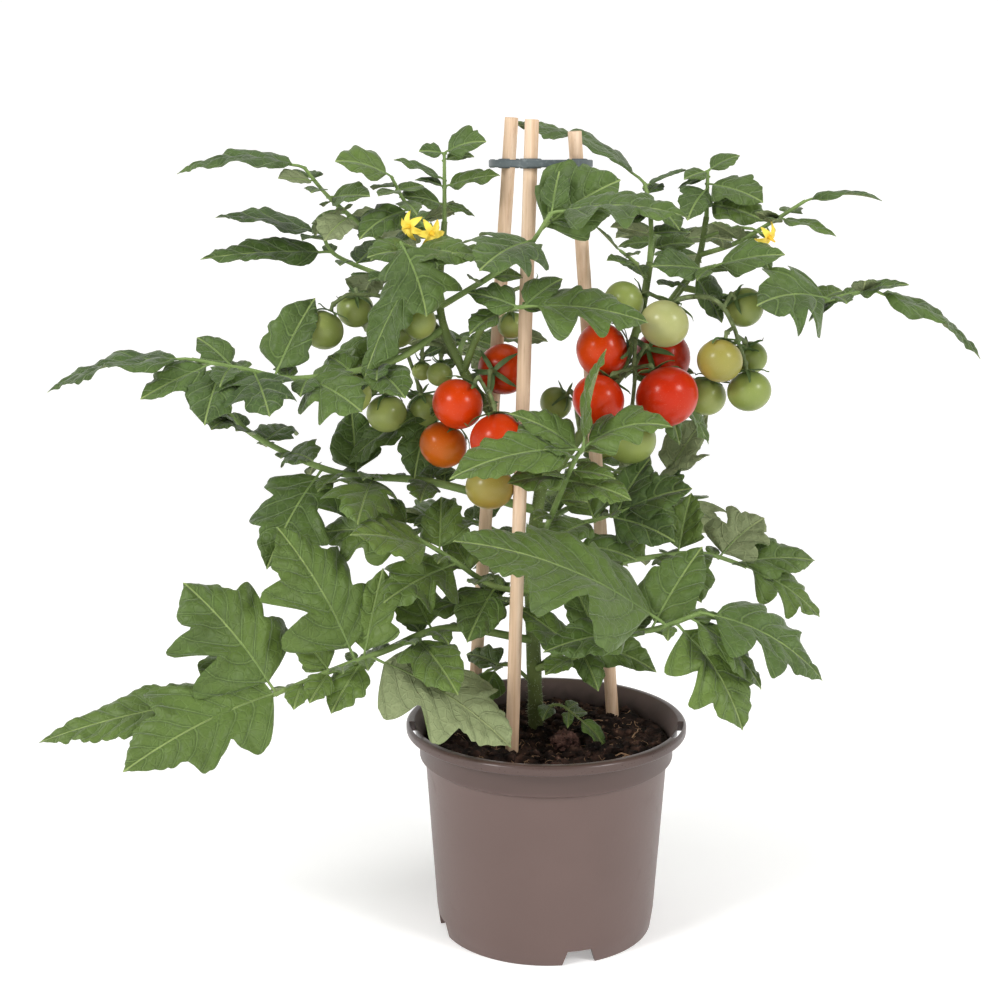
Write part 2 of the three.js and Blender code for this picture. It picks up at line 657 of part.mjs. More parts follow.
function makeSoil(holes) {
  const { collarRadius, shoulderRadius, footRadius, wall, floorTop, dishRadius, height } = POT;
  const collarBottom = height - POT.lipHeight - POT.collarHeight;
  const inside = 1.2; // a many-sided pot wall comes this much closer than its radius
  const outline = [
    [0, wall + GAP], [dishRadius - wall - inside, wall + GAP], [dishRadius - wall / 2, floorTop + GAP],
    [footRadius - wall - inside, floorTop + GAP], [shoulderRadius - wall - inside, collarBottom - 3.5],
    [collarRadius - wall - inside, collarBottom + 0.5], [collarRadius - wall - inside, SOIL_TOP],
  ];
  const surfaceRings = [56, 38, 20, 0];
  for (const radius of surfaceRings) {
    outline.push([radius, SOIL_TOP]);
  }
  const profile = outline.map(([radius, z]) => new THREE.Vector2(radius, z));
  const geometry = new THREE.LatheGeometry(profile, 20).rotateX(Math.PI / 2);
  const position = geometry.attributes.position;
  for (let i = 0; i < position.count; i++) {
    if (position.getZ(i) > SOIL_TOP - 0.1) {
      position.setZ(i, soilHeight(position.getX(i), position.getY(i)));
    }
  }
  return toSolid(geometry).subtract(join(holes)).simplify(FINEST);
}

// The line of a stick, from its soil and ring points.
function stickPoint(stick, z) {
  const soil = vector(stick.soil);
  const share = (z - soil.z) / (stick.ring[2] - soil.z);
  return soil.lerp(vector(stick.ring), share);
}

function makeStick(stick, radius = STICK.radius, overlong = 0) {
  const bottom = stickPoint(stick, STICK.bottom - overlong);
  const top = stickPoint(stick, stick.top);
  const rod = new THREE.CylinderGeometry(radius, radius, bottom.distanceTo(top), STICK.sides);
  const turn = new THREE.Quaternion().setFromUnitVectors(
    new THREE.Vector3(0, 1, 0), top.clone().sub(bottom).normalize(),
  );
  rod.applyQuaternion(turn);
  const middle = bottom.add(top).multiplyScalar(0.5);
  return toSolid(rod.translate(middle.x, middle.y, middle.z));
}

// A band round the three sticks, with a grip round each one that is open to the middle.
function makeClip(sticksFat) {
  const [x, y] = CLIP.centre;
  const low = CLIP.z - CLIP.height / 2;
  const high = CLIP.z + CLIP.height / 2;
  const corners = [[CLIP.inner, low], [CLIP.outer, low], [CLIP.outer, high], [CLIP.inner, high]];
  const band = turned(corners, 20);
  const parts = [band.translate([x, y, 0])];
  const mouths = [];
  for (const stick of Object.values(STICKS)) {
    const centre = stickPoint(stick, CLIP.z);
    const outer = STICK.radius + CLIP.grip;
    const collar = new THREE.CylinderGeometry(outer, outer, CLIP.height, 8).rotateX(Math.PI / 2);
    parts.push(toSolid(collar.translate(centre.x, centre.y, CLIP.z)));
    const inward = new THREE.Vector3(x - centre.x, y - centre.y, 0).setLength(outer);
    const mouth = new THREE.BoxGeometry(outer, 1.5 * STICK.radius, 2 * CLIP.height);
    mouth.rotateZ(Math.atan2(inward.y, inward.x));
    mouths.push(toSolid(mouth.translate(centre.x + inward.x, centre.y + inward.y, CLIP.z)));
  }
  return join(parts).subtract(join([...mouths, ...sticksFat])).simplify(FINEST);
}

// ---------------------------------------------------------------- stem, leaves and fruit

function makeStem(extra = 0) {
  const tubes = Object.entries(SHOOTS).map(([name, { points, girth }]) => {
    const [first, last] = girth;
    return bentTube(points, first + extra, last + extra, name === 'main' ? 7 : 5, 18);
  });
  return join(tubes).simplify(FINEST);
}

// Where a leaflet's midrib runs at a share of its length, with the directions across and above it.
function midribAt(leaflet, share) {
  const { base, heading, rise, length, roll } = leaflet;
  const fall = Math.max(leaflet.fall, radians(1));
  const angle = rise - fall * share;
  const forward = new THREE.Vector3(Math.cos(heading), Math.sin(heading), 0);
  const across = new THREE.Vector3(-Math.sin(heading), Math.cos(heading), 0);
  const reach = (Math.sin(rise) - Math.sin(angle)) / fall;
  const climb = (Math.cos(angle) - Math.cos(rise)) / fall;
  const point = base.clone().addScaledVector(forward, length * reach);
  point.addScaledVector(Z_UP, length * climb);
  const above = forward.multiplyScalar(-Math.sin(angle)).addScaledVector(Z_UP, Math.cos(angle));
  const side = across.clone().multiplyScalar(Math.cos(roll)).addScaledVector(above, Math.sin(roll));
  const up = above.multiplyScalar(Math.cos(roll)).addScaledVector(across, -Math.sin(roll));
  return { point, side, up };
}

// The rib point and the two edge points of a leaflet at one of its stations.
function stationPoints(leaflet, share, halfWidth, lift) {
  const rib = midribAt(leaflet, share);
  const swept = midribAt(leaflet, Math.min(share + (BLADE.sweep * halfWidth) / leaflet.length, 0.97));
  const [left, right] = [1, -1].map((sign) => {
    const width = halfWidth * (1 + sign * leaflet.skew);
    return swept.point.clone()
      .addScaledVector(swept.side, sign * width * Math.cos(lift))
      .addScaledVector(swept.up, width * Math.sin(lift));
  });
  return { left, rib: rib.point, up: rib.up, right };
}

// A thin leaf with cut edges: thickest at its rib, with both faces split alike, and pointed at both ends.
function makeBlade(leaflet) {
  const { stalkHalf, stalkEnd, root, ribThickness } = BLADE;
  const rows = [stationPoints(leaflet, stalkEnd, stalkHalf, 0)];
  for (const [share, width, lift] of OUTLINES[leaflet.outline]) {
    rows.push(stationPoints(leaflet, share, width * leaflet.length * leaflet.spread, radians(lift)));
  }
  const corners = [midribAt(leaflet, -root / leaflet.length).point, midribAt(leaflet, 1).point];
  for (const { left, rib, up, right } of rows) {
    const top = rib.clone().addScaledVector(up, ribThickness / 2);
    const underside = rib.clone().addScaledVector(up, -ribThickness / 2);
    corners.push(left, top, underside, right);
  }
  const [start, tip, first] = [0, 1, 2];
  const last = first + 4 * (rows.length - 1);
  const faces = [];
  for (let a = first; a < last; a += 4) {
    const b = a + 4;
    faces.push([a, a + 1, b], [a + 1, b + 1, b], [a + 1, a + 3, b + 3], [a + 1, b + 3, b + 1]);
    faces.push([a, b, a + 2], [a + 2, b, b + 2], [a + 2, b + 3, a + 3], [a + 2, b + 2, b + 3]);
  }
  faces.push([start, first + 1, first], [start, first + 3, first + 1]);
  faces.push([start, first, first + 2], [start, first + 2, first + 3]);
  faces.push([last, last + 1, tip], [last + 1, last + 3, tip]);
  faces.push([last, tip, last + 2], [last + 2, tip, last + 3]);
  const geometry = new THREE.BufferGeometry().setFromPoints(corners);
  geometry.setIndex(faces.flat());
  return toSolid(geometry);
}

function boxesTouch(a, b, margin) {
  const reaches = (first, second, axis) => first.min[axis] < second.max[axis] + margin;
  return [0, 1, 2].every((axis) => reaches(a, b, axis) && reaches(b, a, axis));
}

function isClear(solid, obstacles) {
  const box = solid.boundingBox();
  return obstacles.every((other) => (
    !boxesTouch(box, other.box, CLEARANCE) || solid.minGap(other.solid, CLEARANCE) >= CLEARANCE
  ));
}

// How much a leaflet runs into the others of its own leaf, away from the stalk that they share.
function overlapWith(solid, siblings) {
  return siblings.reduce((sum, sibling) => sum + solid.intersect(sibling).volume(), 0);
}

let leafletCount = 0; // gives each leaflet its own slight roll and skew

function makeStalk(leaf, stemFat) {
  const [first, last] = leaf.girth;
  return mainBody(bentTube(leaf.stalk, first, last, 4, 16).subtract(stemFat));
}

// A compound leaf: a tapering stalk and its leaflets, each bent clear of what already stands there.
function makeLeaf(name, leaf, stalk, obstacles) {
  const curve = curveThrough(leaf.stalk);
  const blades = [];
  for (const [place, outline, heading, rise, length, fall, spread, lean] of leaf.leaflets) {
    leafletCount += 1;
    const sway = Math.sin(2.4 * leafletCount);
    const leaflet = {
      outline, length, spread, base: curve.getPoint(place), fall: radians(fall),
      skew: BLADE.skew * sway,
    };
    const tries = BENDS.map(([moreRise, moreTurn]) => {
      const bearing = radians(heading + moreTurn);
      const roll = radians((lean ?? leaf.lean ?? LEAN) * Math.cos(bearing) + BLADE.roll * sway);
      return { ...leaflet, heading: bearing, rise: radians(rise + moreRise), roll };
    });
    const clear = tries.map(makeBlade).find((solid) => (
      isClear(solid, obstacles) && overlapWith(solid, blades) < 3
    ));
    if (!clear) {
      console.warn(`${name}: no room for the leaflet at ${place}, heading ${heading}`);
      continue;
    }
    blades.push(clear);
  }
  return join([stalk, ...blades]).simplify(FINEST);
}

// A flat five-pointed star on top of a round: sepals or petals, thin at their points.
function makeStar(centre, axis, heights, radii) {
  const across = new THREE.Vector3(1, 0, 0).cross(axis).normalize();
  const along = axis.clone().cross(across);
  const place = (radius, turn, height) => centre.clone()
    .addScaledVector(across, radius * Math.cos(turn))
    .addScaledVector(along, radius * Math.sin(turn))
    .addScaledVector(axis, height);
  const corners = [place(0, 0, heights.middle + SEPAL_THICKNESS), place(0, 0, heights.seat)];
  for (let point = 0; point < 5; point++) {
    const turn = (FULL_TURN * point) / 5;
    corners.push(place(radii.bay, turn, heights.bay + SEPAL_THICKNESS));
    corners.push(place(radii.bay, turn, heights.bay));
    corners.push(place(radii.tip, turn + FULL_TURN / 10, heights.tip));
  }
  const faces = [];
  for (let point = 0; point < 5; point++) {
    const bay = 2 + point * 3;
    const next = 2 + ((point + 1) % 5) * 3;
    const tip = bay + 2;
    faces.push([0, bay, next], [bay, tip, next], [1, next + 1, bay + 1], [bay + 1, next + 1, tip]);
    faces.push([bay, bay + 1, tip], [next, tip, next + 1]);
  }
  const geometry = new THREE.BufferGeometry().setFromPoints(corners);
  geometry.setIndex(faces.flat());
  return toSolid(geometry);
}

// The way a fruit's crown looks: towards its place on the truss, and up.
function crownAxis(centre, radius, stalkPoint) {
  return stalkPoint.clone().sub(centre).addScaledVector(Z_UP, radius).normalize();
}

function makeFruit(centre, radius, axis) {
  const fewer = FRUIT.smaller.filter((size) => radius < size).length;
  const geometry = new THREE.SphereGeometry(radius, FRUIT.sides - fewer, FRUIT.rows - fewer);
  geometry.scale(1, FRUIT.flatness, 1);
  geometry.applyQuaternion(new THREE.Quaternion().setFromUnitVectors(new THREE.Vector3(0, 1, 0), axis));
  return toSolid(geometry.translate(centre.x, centre.y, centre.z));
}

// A truss: its stalk, and a pedicel and calyx for each fruit. Green fruit is one body with it.
function makeTruss(truss, stemFat) {
  const curve = curveThrough(truss.stalk);
  const parts = [bentTube(truss.stalk, FRUIT.stalkRadius, FRUIT.pedicelRadius, 4, 10).subtract(stemFat)];
  const loose = [];
  for (const [place, middle, radius, ripeness] of truss.fruit) {
    const centre = vector(middle);
    const start = curve.getPoint(place);
    const axis = crownAxis(centre, radius, start);
    const crown = FRUIT.flatness * radius;
    const fused = ripeness === 'green';
    const bend = centre.clone().addScaledVector(axis, crown + 5);
    const end = centre.clone().addScaledVector(axis, crown + GAP + SEPAL_THICKNESS / 2);
    const points = [start.toArray(), bend.toArray(), end.toArray()];
    parts.push(bentTube(points, FRUIT.pedicelRadius, FRUIT.pedicelRadius, 3, 9));
    const heights = { middle: crown + GAP, bay: 0.95 * crown + 0.7, tip: 0.93 * crown + 1.2 };
    const seat = fused ? crown - 1 : heights.middle; // a green fruit's star is rooted in it
    const radii = { bay: 0.24 * radius, tip: Math.max(FRUIT.calyx * radius, 6) };
    parts.push(makeStar(centre, axis, { ...heights, seat }, radii));
    const fruit = makeFruit(centre, radius, axis);
    if (fused) {
      parts.push(fruit);
    } else {
      loose.push({ ripeness, solid: fruit });
    }
  }
  return { solid: mainBody(join(parts)).simplify(FINEST), loose };
}

// A blossom: swept-back petals round a pointed cone of anthers.
function makeBlossom(centre, axis, radius) {
  const heights = { middle: 0, seat: 0, bay: 0, tip: -3 };
  const petals = makeStar(centre, axis, heights, { bay: 0.3 * radius, tip: radius });
  const cone = new THREE.ConeGeometry(1.6, 6, 6).translate(0, 3.2, 0);
  cone.applyQuaternion(new THREE.Quaternion().setFromUnitVectors(new THREE.Vector3(0, 1, 0), axis));
  return petals.add(toSolid(cone.translate(centre.x, centre.y, centre.z)));
}

function makeSpray(spray, stemFat) {
  const curve = curveThrough(spray.stalk);
  const parts = [bentTube(spray.stalk, 1.2, 0.8, 4, 8).subtract(stemFat)];
  const blossoms = [];
  for (const [place, middle, radius] of spray.blossoms) {
    const centre = vector(middle);
    const start = curve.getPoint(place);
    const axis = centre.clone().sub(start).addScaledVector(Z_UP, -3).normalize();
    const end = centre.clone().addScaledVector(axis, -GAP);
    parts.push(bentTube([start.toArray(), end.toArray()], 0.8, 0.8, 4, 12));
    blossoms.push(makeBlossom(centre, axis, radius));
  }
  return { solid: mainBody(join(parts)).simplify(FINEST), blossoms };
}

// ---------------------------------------------------------------- the plant

const group = new THREE.Group();
const standing = []; // what a leaflet has to stay clear of

function place(name, solid, finish) {
  const mesh = new THREE.Mesh(toGeometry(solid), new THREE.MeshStandardMaterial(MATERIALS[finish]));
  mesh.name = name;
  group.add(mesh);
  standing.push({ name, solid, box: solid.boundingBox() });
}

const stem = makeStem();
const stemFat = makeStem(GAP);
const sticksFat = Object.values(STICKS).map((stick) => makeStick(stick, STICK.radius + GAP, GAP));

place('pot', makePot(), 'pot');
place('soil', makeSoil([...sticksFat, stemFat]), 'soil');
for (const [side, stick] of Object.entries(STICKS)) {
  place(`stick_${side}`, makeStick(stick), 'wood');
}
place('stick_clip', makeClip(sticksFat), 'clip');
place('stem', stem, 'stem');

for (const [name, truss] of Object.entries(TRUSSES)) {
  const { solid, loose } = makeTruss(truss, stemFat);
  place(name, solid, 'truss');
  loose.forEach((fruit, index) => {
    place(`${name.replace('truss', 'fruit')}_${index + 1}`, fruit.solid, fruit.ripeness);
  });
}
for (const [name, spray] of Object.entries(SPRAYS)) {
  const { solid, blossoms } = makeSpray(spray, stemFat);
  place(name, solid, 'truss');
  blossoms.forEach((blossom, index) => {
    place(`${name.replace('spray', 'bloom')}_${index + 1}`, blossom, 'petal');
  });
}
const stalks = Object.entries(LEAVES).map(([name, leaf]) => {
  const solid = makeStalk(leaf, stemFat);
  return { name, solid, box: solid.boundingBox() };
});
for (const { name, solid } of stalks) {
  const others = stalks.filter((stalk) => stalk.name !== name);
  place(name, makeLeaf(name, LEAVES[name], solid, [...standing, ...others]), 'leaf');
}

export default group;
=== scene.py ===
import math
import random
import bmesh
import bpy
from mathutils import Matrix, Vector, noise


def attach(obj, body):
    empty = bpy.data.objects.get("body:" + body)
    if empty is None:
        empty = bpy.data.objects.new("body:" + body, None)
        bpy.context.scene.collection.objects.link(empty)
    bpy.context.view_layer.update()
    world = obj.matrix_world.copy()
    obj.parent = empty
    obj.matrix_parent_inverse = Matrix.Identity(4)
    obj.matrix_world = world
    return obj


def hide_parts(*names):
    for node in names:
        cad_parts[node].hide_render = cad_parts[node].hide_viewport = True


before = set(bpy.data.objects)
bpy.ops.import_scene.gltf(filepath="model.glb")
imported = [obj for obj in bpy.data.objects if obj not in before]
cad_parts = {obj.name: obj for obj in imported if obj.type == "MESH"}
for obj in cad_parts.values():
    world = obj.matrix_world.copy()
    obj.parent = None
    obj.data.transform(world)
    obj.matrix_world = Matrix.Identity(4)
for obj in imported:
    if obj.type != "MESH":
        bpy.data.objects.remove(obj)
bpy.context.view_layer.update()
mm = 0.001  # the plans below are in millimetres, with +Z up and the front at -Y
upward = Vector((0, 0, 1))


def linear(*shades):  # a screen colour, 0 to 255, as the light values that shaders take
    return tuple((s / 255 / 12.92 if s < 11 else ((s / 255 + 0.055) / 1.055) ** 2.4) for s in shades) + (1,)


class Wire:  # one output of a node; arithmetic on it adds Math nodes
    def __init__(self, finish, socket):
        self.finish = finish
        self.socket = socket

    def combine(self, operation, first, second):
        return self.finish.add("ShaderNodeMath", {"operation": operation}, [first, second])

    def __add__(self, other):
        return self.combine("ADD", self, other)

    def __sub__(self, other):
        return self.combine("SUBTRACT", self, other)

    def __rsub__(self, other):
        return self.combine("SUBTRACT", other, self)

    def __mul__(self, other):
        return self.combine("MULTIPLY", self, other)

    __radd__ = __add__
    __rmul__ = __mul__


class Finish:  # one material and its nodes
    def __init__(self, name, constants):
        self.material = bpy.data.materials.new(name)
        self.material.use_nodes = True
        self.tree = self.material.node_tree
        self.shader = self.tree.nodes["Principled BSDF"]
        for socket, value in constants.items():
            self.shader.inputs[socket].default_value = value
        self.place = self.add("ShaderNodeTexCoord", {}, {}, 3)  # Object coordinates

    def add(self, kind, settings, values, output=0):
        node = self.tree.nodes.new(kind)
        for key, value in settings.items():
            if key == "stops":
                self.setStops(node.color_ramp, value)
            else:
                setattr(node, key, value)
        for key, value in values.items() if isinstance(values, dict) else enumerate(values):
            self.put(node.inputs[key], value)
        return Wire(self, node.outputs[output])

    def setStops(self, ramp, stops):
        while len(ramp.elements) < len(stops):
            ramp.elements.new(1)
        for element, (position, colour) in zip(ramp.elements, stops):
            element.position = position
            element.color = colour

    def put(self, socket, value):
        if isinstance(value, Wire):
            self.tree.links.new(value.socket, socket)
        else:
            socket.default_value = value

    def feed(self, socket, value):
        self.put(self.shader.inputs[socket], value)

    def noise(self, scale, detail=3, where=None, distortion=0):
        values = {"Vector": where or self.place, "Scale": scale, "Detail": detail, "Distortion": distortion}
        return self.add("ShaderNodeTexNoise", {}, values)

    def grain(self, detail, *scale):  # noise drawn out along Z
        where = self.add("ShaderNodeMapping", {}, {"Vector": self.place, "Scale": scale})
        return self.noise(1, detail, where)

    def cells(self, scale, feature):
        values = {"Vector": self.place, "Scale": scale}
        return self.add("ShaderNodeTexVoronoi", {"feature": feature}, values)

    def height(self):  # in metres over the pot's underside
        return self.add("ShaderNodeSeparateXYZ", {}, [self.place], 2)

    def attribute(self, name):
        return self.add("ShaderNodeAttribute", {"attribute_name": name}, {}, 2)

    def blend(self, amount, first, second):
        return self.add("ShaderNodeMix", {"data_type": "RGBA"}, {0: amount, 6: first, 7: second}, 2)

    def mottled(self, scale, first, second):
        self.feed("Base Color", self.blend(self.noise(scale), first, second))

    def ramp(self, value, stops):
        return self.add("ShaderNodeValToRGB", {"stops": stops}, [value])

    def fade(self, value, low, high):  # from 0 to 1 between low and high, and back where low is above high
        limits = [low, high, 0.0, 1.0] if low < high else [high, low, 1.0, 0.0]
        return self.add("ShaderNodeMapRange", {"interpolation_type": "SMOOTHSTEP"}, [value, *limits])

    def relief(self, height, distance, strength=1.0):
        values = {"Height": height, "Distance": distance, "Strength": strength}
        self.feed("Normal", self.add("ShaderNodeBump", {}, values))


def lineThrough(points):  # a smooth curve through points in mm: takes a share, 0 to 1, and gives metres
    nodes = [Vector(p) * mm for p in points]
    last = len(nodes) - 1

    def at(share):
        if share >= 1:
            return nodes[last].copy()
        start = int(share * last)
        t = share * last - start
        before = nodes[start - 1] if start else 2 * nodes[0] - nodes[1]
        after = nodes[start + 2] if start + 2 <= last else 2 * nodes[last] - nodes[last - 1]
        first, second = nodes[start], nodes[start + 1]
        leave, arrive = (second - before) / 2, (after - first) / 2
        return ((2 * first - 2 * second + leave + arrive) * t ** 3
                + (3 * second - 3 * first - 2 * leave - arrive) * t ** 2 + leave * t + first)
    return at


def lengthOf(path):
    return sum((b - a).length for a, b in zip(path, path[1:]))


def spread(at, every):  # points along a line at about even steps, given in mm
    steps = max(3, round(lengthOf([at(i / 40) for i in range(41)]) / (every * mm)))
    return [at(i / steps) for i in range(steps + 1)]


def facing(point, way):  # the place of a shape whose Z points that way
    return Matrix.Translation(point) @ way.to_track_quat("Z", "Y").to_matrix().to_4x4()


def facesOf(verts):
    return list({face for vert in verts for face in vert.link_faces})


def paint(faces, part):  # with the finish that has this place in the piece's list
    for face in faces:
        face.material_index = part


def append(bm, addition):  # adds a small shape to a large one, and uses it up
    mesh = bpy.data.meshes.new("addition")
    addition.to_mesh(mesh)
    addition.free()
    bm.from_mesh(mesh)
    bpy.data.meshes.remove(mesh)


def addTube(bm, path, girthAt, sides, part=0):  # girthAt takes a share of the path and gives a radius
    ahead, behind = path[1:] + path[-1:], path[:1] + path[:-1]
    tangents = [(following - former).normalized() for following, former in zip(ahead, behind)]
    side = tangents[0].orthogonal().normalized()
    stations = []
    for point, tangent in zip(path, tangents):
        side = (side - side.dot(tangent) * tangent).normalized()
        turn = Matrix((side, tangent.cross(side), tangent)).transposed().to_4x4()
        girth = girthAt(len(stations) / (len(path) - 1))
        stations.append(Matrix.Translation(point) @ turn @ Matrix.Scale(girth, 4))
    tube = bmesh.new()
    ring = bmesh.ops.create_circle(tube, cap_ends=True, segments=sides, radius=1, matrix=stations[0])["verts"]
    edges = list({edge for vert in ring for edge in vert.link_edges})
    for before, now in zip(stations, stations[1:]):
        made = bmesh.ops.extrude_edge_only(tube, edges=edges)["geom"]
        verts = [g for g in made if isinstance(g, bmesh.types.BMVert)]
        edges = [g for g in made if isinstance(g, bmesh.types.BMEdge)]
        bmesh.ops.transform(tube, matrix=now @ before.inverted(), verts=verts)
    bmesh.ops.contextual_create(tube, geom=edges)
    bmesh.ops.recalc_face_normals(tube, faces=tube.faces)
    paint(tube.faces, part)
    append(bm, tube)


def swelling(path, first, last, size, drift):  # a radius that changes along a path, a little unevenly
    def girthAt(share):
        wobble = noise.noise(Vector((share * len(path) * 0.35, drift, 0)))
        return (first + (last - first) * share + size * wobble) * mm
    return girthAt


def addHairs(bm, path, girthAt, count, plan, chance):
    for _ in range(count):
        share = chance.random()
        spot = share * (len(path) - 1)
        i = min(int(spot), len(path) - 2)
        tangent = (path[i + 1] - path[i]).normalized()
        out = Matrix.Rotation(chance.uniform(0, math.tau), 3, tangent) @ tangent.orthogonal().normalized()
        lean = (out + tangent * chance.uniform(-0.3, 0.3)).normalized()
        length = plan["length"] * mm * chance.uniform(0.5, 1)
        root = path[i].lerp(path[i + 1], spot - i) + out * girthAt(share) * 0.95
        hair = bmesh.ops.create_cone(bm, segments=3, radius1=plan["radius"] * mm, radius2=0, depth=length,
                                     matrix=facing(root + lean * length / 2, lean))
        paint(facesOf(hair["verts"]), hairPart)


def show(name, data):
    made = bpy.data.objects.new(name, data)
    bpy.context.scene.collection.objects.link(made)
    return made


def meshObject(bm, name):  # uses the bmesh up
    mesh = bpy.data.meshes.new(name)
    bm.to_mesh(mesh)
    bm.free()
    return show(name, mesh)


def makePiece(bm, name, finishes, node, sharp=60):  # edges from sharp degrees on stay crisp
    piece = meshObject(bm, name)
    piece.data.shade_smooth()
    piece.data.set_sharp_from_angle(angle=math.radians(sharp))
    for finish in finishes:
        piece.data.materials.append(finish.material)
    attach(piece, "root")
    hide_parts(node)
    return piece


def spin(bm, geom, steps, angle=math.tau):  # turns a section round the upright axis
    return bmesh.ops.spin(bm, geom=geom, cent=(0, 0, 0), axis=(0, 0, 1), steps=steps, angle=angle,
                          use_merge=angle == math.tau)


def closeUp(bm):  # fills what is open, and turns the faces outwards
    bmesh.ops.holes_fill(bm, edges=[e for e in bm.edges if e.is_boundary], sides=0)
    bmesh.ops.recalc_face_normals(bm, faces=bm.faces)


def turnedBody(outline, steps):  # a closed body from its section, as (radius, height)
    bm = bmesh.new()
    verts = [bm.verts.new((radius * mm, 0, z * mm)) for radius, z in outline]
    edges = [bm.edges.new(pair) for pair in zip(verts, verts[1:])]
    spin(bm, verts + edges, steps)
    bmesh.ops.remove_doubles(bm, verts=bm.verts, dist=0.03 * mm)
    closeUp(bm)
    return bm


def soften(bm, edges, offset, clamped=False):
    bmesh.ops.bevel(bm, geom=edges, offset=offset * mm, segments=2, profile=0.5, affect="EDGES", material=-1,
                    clamp_overlap=clamped)


potShape = {
    "outline": [  # (radius, height), round the whole section
        (25, 0), (26.8, 10.2), (62.4, 10.2), (62.4, 0), (65.1, 0), (66.9, 12), (73.4, 107),
        (76.9, 109), (76.9, 124), (84.2, 124), (84.9, 124.8), (84.9, 128.6), (83.6, 130),
        (80, 130), (78.5, 128.4), (75.2, 122), (75.2, 109), (71.7, 105), (64.2, 12), (25, 12), (23.2, 1.8),
    ],
    "steps": 144,
    "edge": 0.7,  # rounding of the moulded edges
    "sharp": 35,  # the angle in degrees from which an edge is rounded
    "inside": {"facing": -0.35, "from": 12},  # which faces take the inside finish of painted shade and soil stain: how far they look in, and how high
    "notch": {"wall": 64.5, "through": 10, "width": 15, "height": 9, "slope": 3,
              "bearings": (-73.5, 16.5, 106.5, 196.5)},
    "slot": {"radii": (79.6, 83.2), "heights": (123, 131), "reach": 11, "bearings": (-15, 195)},
    "drain": {"radius": 4, "depth": 6, "centre": (46, 0, 12), "bearings": (0, 90, 180, 270)},
}

potFinish = Finish("taupePlastic", {"IOR": 1.46, "Coat Roughness": 0.35})
grain = potFinish.noise(900, 4)
clouds = potFinish.noise(14, 4)
dust = potFinish.fade(potFinish.noise(60, 6, distortion=0.4), 0.58, 0.8)
high = potFinish.height()
plastic = potFinish.blend(clouds, linear(90, 71, 66), linear(103, 83, 78))
plastic = potFinish.blend(grain * 0.25, plastic, linear(88, 74, 70))
# painted shade: the collar and the lip, from about 110 mm up, are darker
plastic = potFinish.blend(potFinish.fade(high, 0.105, 0.112) * 0.8, plastic, linear(74, 57, 52))
soiled = potFinish.fade(high, 0.119, 0.1235) * dust * 0.35
potFinish.feed("Base Color", potFinish.blend(soiled, plastic, linear(70, 52, 44)))
potFinish.feed("Roughness", 0.34 + grain * 0.1 + dust * 0.12 - potFinish.fade(high, 0.123, 0.125) * 0.1)
potFinish.relief(grain * 0.6 + potFinish.noise(180, 2) * 0.8, 0.00012, 0.5)

# the inside wall: darker towards the compost, partly painted shade of the recess and partly soil stain
shadeAndStainFinish = Finish("shadedStainedPlastic", {"IOR": 1.46})
smears = shadeAndStainFinish.noise(90, 6, distortion=0.6)
shadeAndStain = shadeAndStainFinish.fade(shadeAndStainFinish.height() + smears * 0.012, 0.135, 0.121)
shadeAndStainFinish.feed("Base Color", shadeAndStainFinish.blend(shadeAndStain, linear(92, 76, 72), linear(48, 36, 32)))
shadeAndStainFinish.feed("Roughness", 0.5 + smears * 0.3)
shadeAndStainFinish.relief(smears + shadeAndStainFinish.noise(800, 3) * 0.5, 0.0003, 0.6)


def makePot():
    bm = turnedBody(potShape["outline"], potShape["steps"])
    sharp = math.radians(potShape["sharp"])
    soften(bm, [e for e in bm.edges if e.is_manifold and e.calc_face_angle() > sharp], potShape["edge"], True)
    inside = potShape["inside"]
    for face in bm.faces:
        middle = face.calc_center_median()
        outward = Vector((middle.x, middle.y, 0)).normalized()
        if face.normal.dot(outward) < inside["facing"] and middle.z > inside["from"] * mm:
            face.material_index = 1
    pot = makePiece(bm, "nursery_pot", [potFinish, shadeAndStainFinish], "pot", potShape["sharp"])
    cutters = []
    for cut, makeCutter in (("notch", notchCutter), ("slot", slotCutter), ("drain", drainCutter)):
        plan = potShape[cut]
        for bearing in plan["bearings"]:
            bm = makeCutter(plan)
            turn = Matrix.Rotation(math.radians(bearing), 3, "Z")
            bmesh.ops.rotate(bm, verts=bm.verts, cent=(0, 0, 0), matrix=turn)
            cutters.append(meshObject(bm, "cutter"))
    carve(pot, cutters)
    pot.data.set_sharp_from_angle(angle=sharp)
    print("pot:", len(pot.data.polygons), "faces")


def notchCutter(plan):  # a block that widens towards the foot
    bm = bmesh.new()
    for vert in bmesh.ops.create_cube(bm, size=1)["verts"]:
        isFoot = vert.co.z < 0
        vert.co.x = (plan["wall"] + plan["through"] * vert.co.x) * mm
        vert.co.y *= (plan["width"] + (2 * plan["slope"] if isFoot else 0)) * mm
        vert.co.z = (-1 if isFoot else plan["height"]) * mm
    return bm


def slotCutter(plan):  # a narrow arc through the lip
    (inner, outer), (low, high) = plan["radii"], plan["heights"]
    bm = bmesh.new()
    corners = [(inner, low), (outer, low), (outer, high), (inner, high)]
    verts = [bm.verts.new((radius * mm, 0, z * mm)) for radius, z in corners]
    face = bm.faces.new(verts)
    start = Matrix.Rotation(math.radians(-plan["reach"]), 3, "Z")
    bmesh.ops.rotate(bm, verts=verts, cent=(0, 0, 0), matrix=start)
    spin(bm, [face], 12, math.radians(2 * plan["reach"]))
    closeUp(bm)
    return bm


def drainCutter(plan):
    bm = bmesh.new()
    radius = plan["radius"] * mm
    bmesh.ops.create_cone(bm, cap_ends=True, segments=24, radius1=radius, radius2=radius,
                          depth=plan["depth"] * mm, matrix=Matrix.Translation(Vector(plan["centre"]) * mm))
    return bm


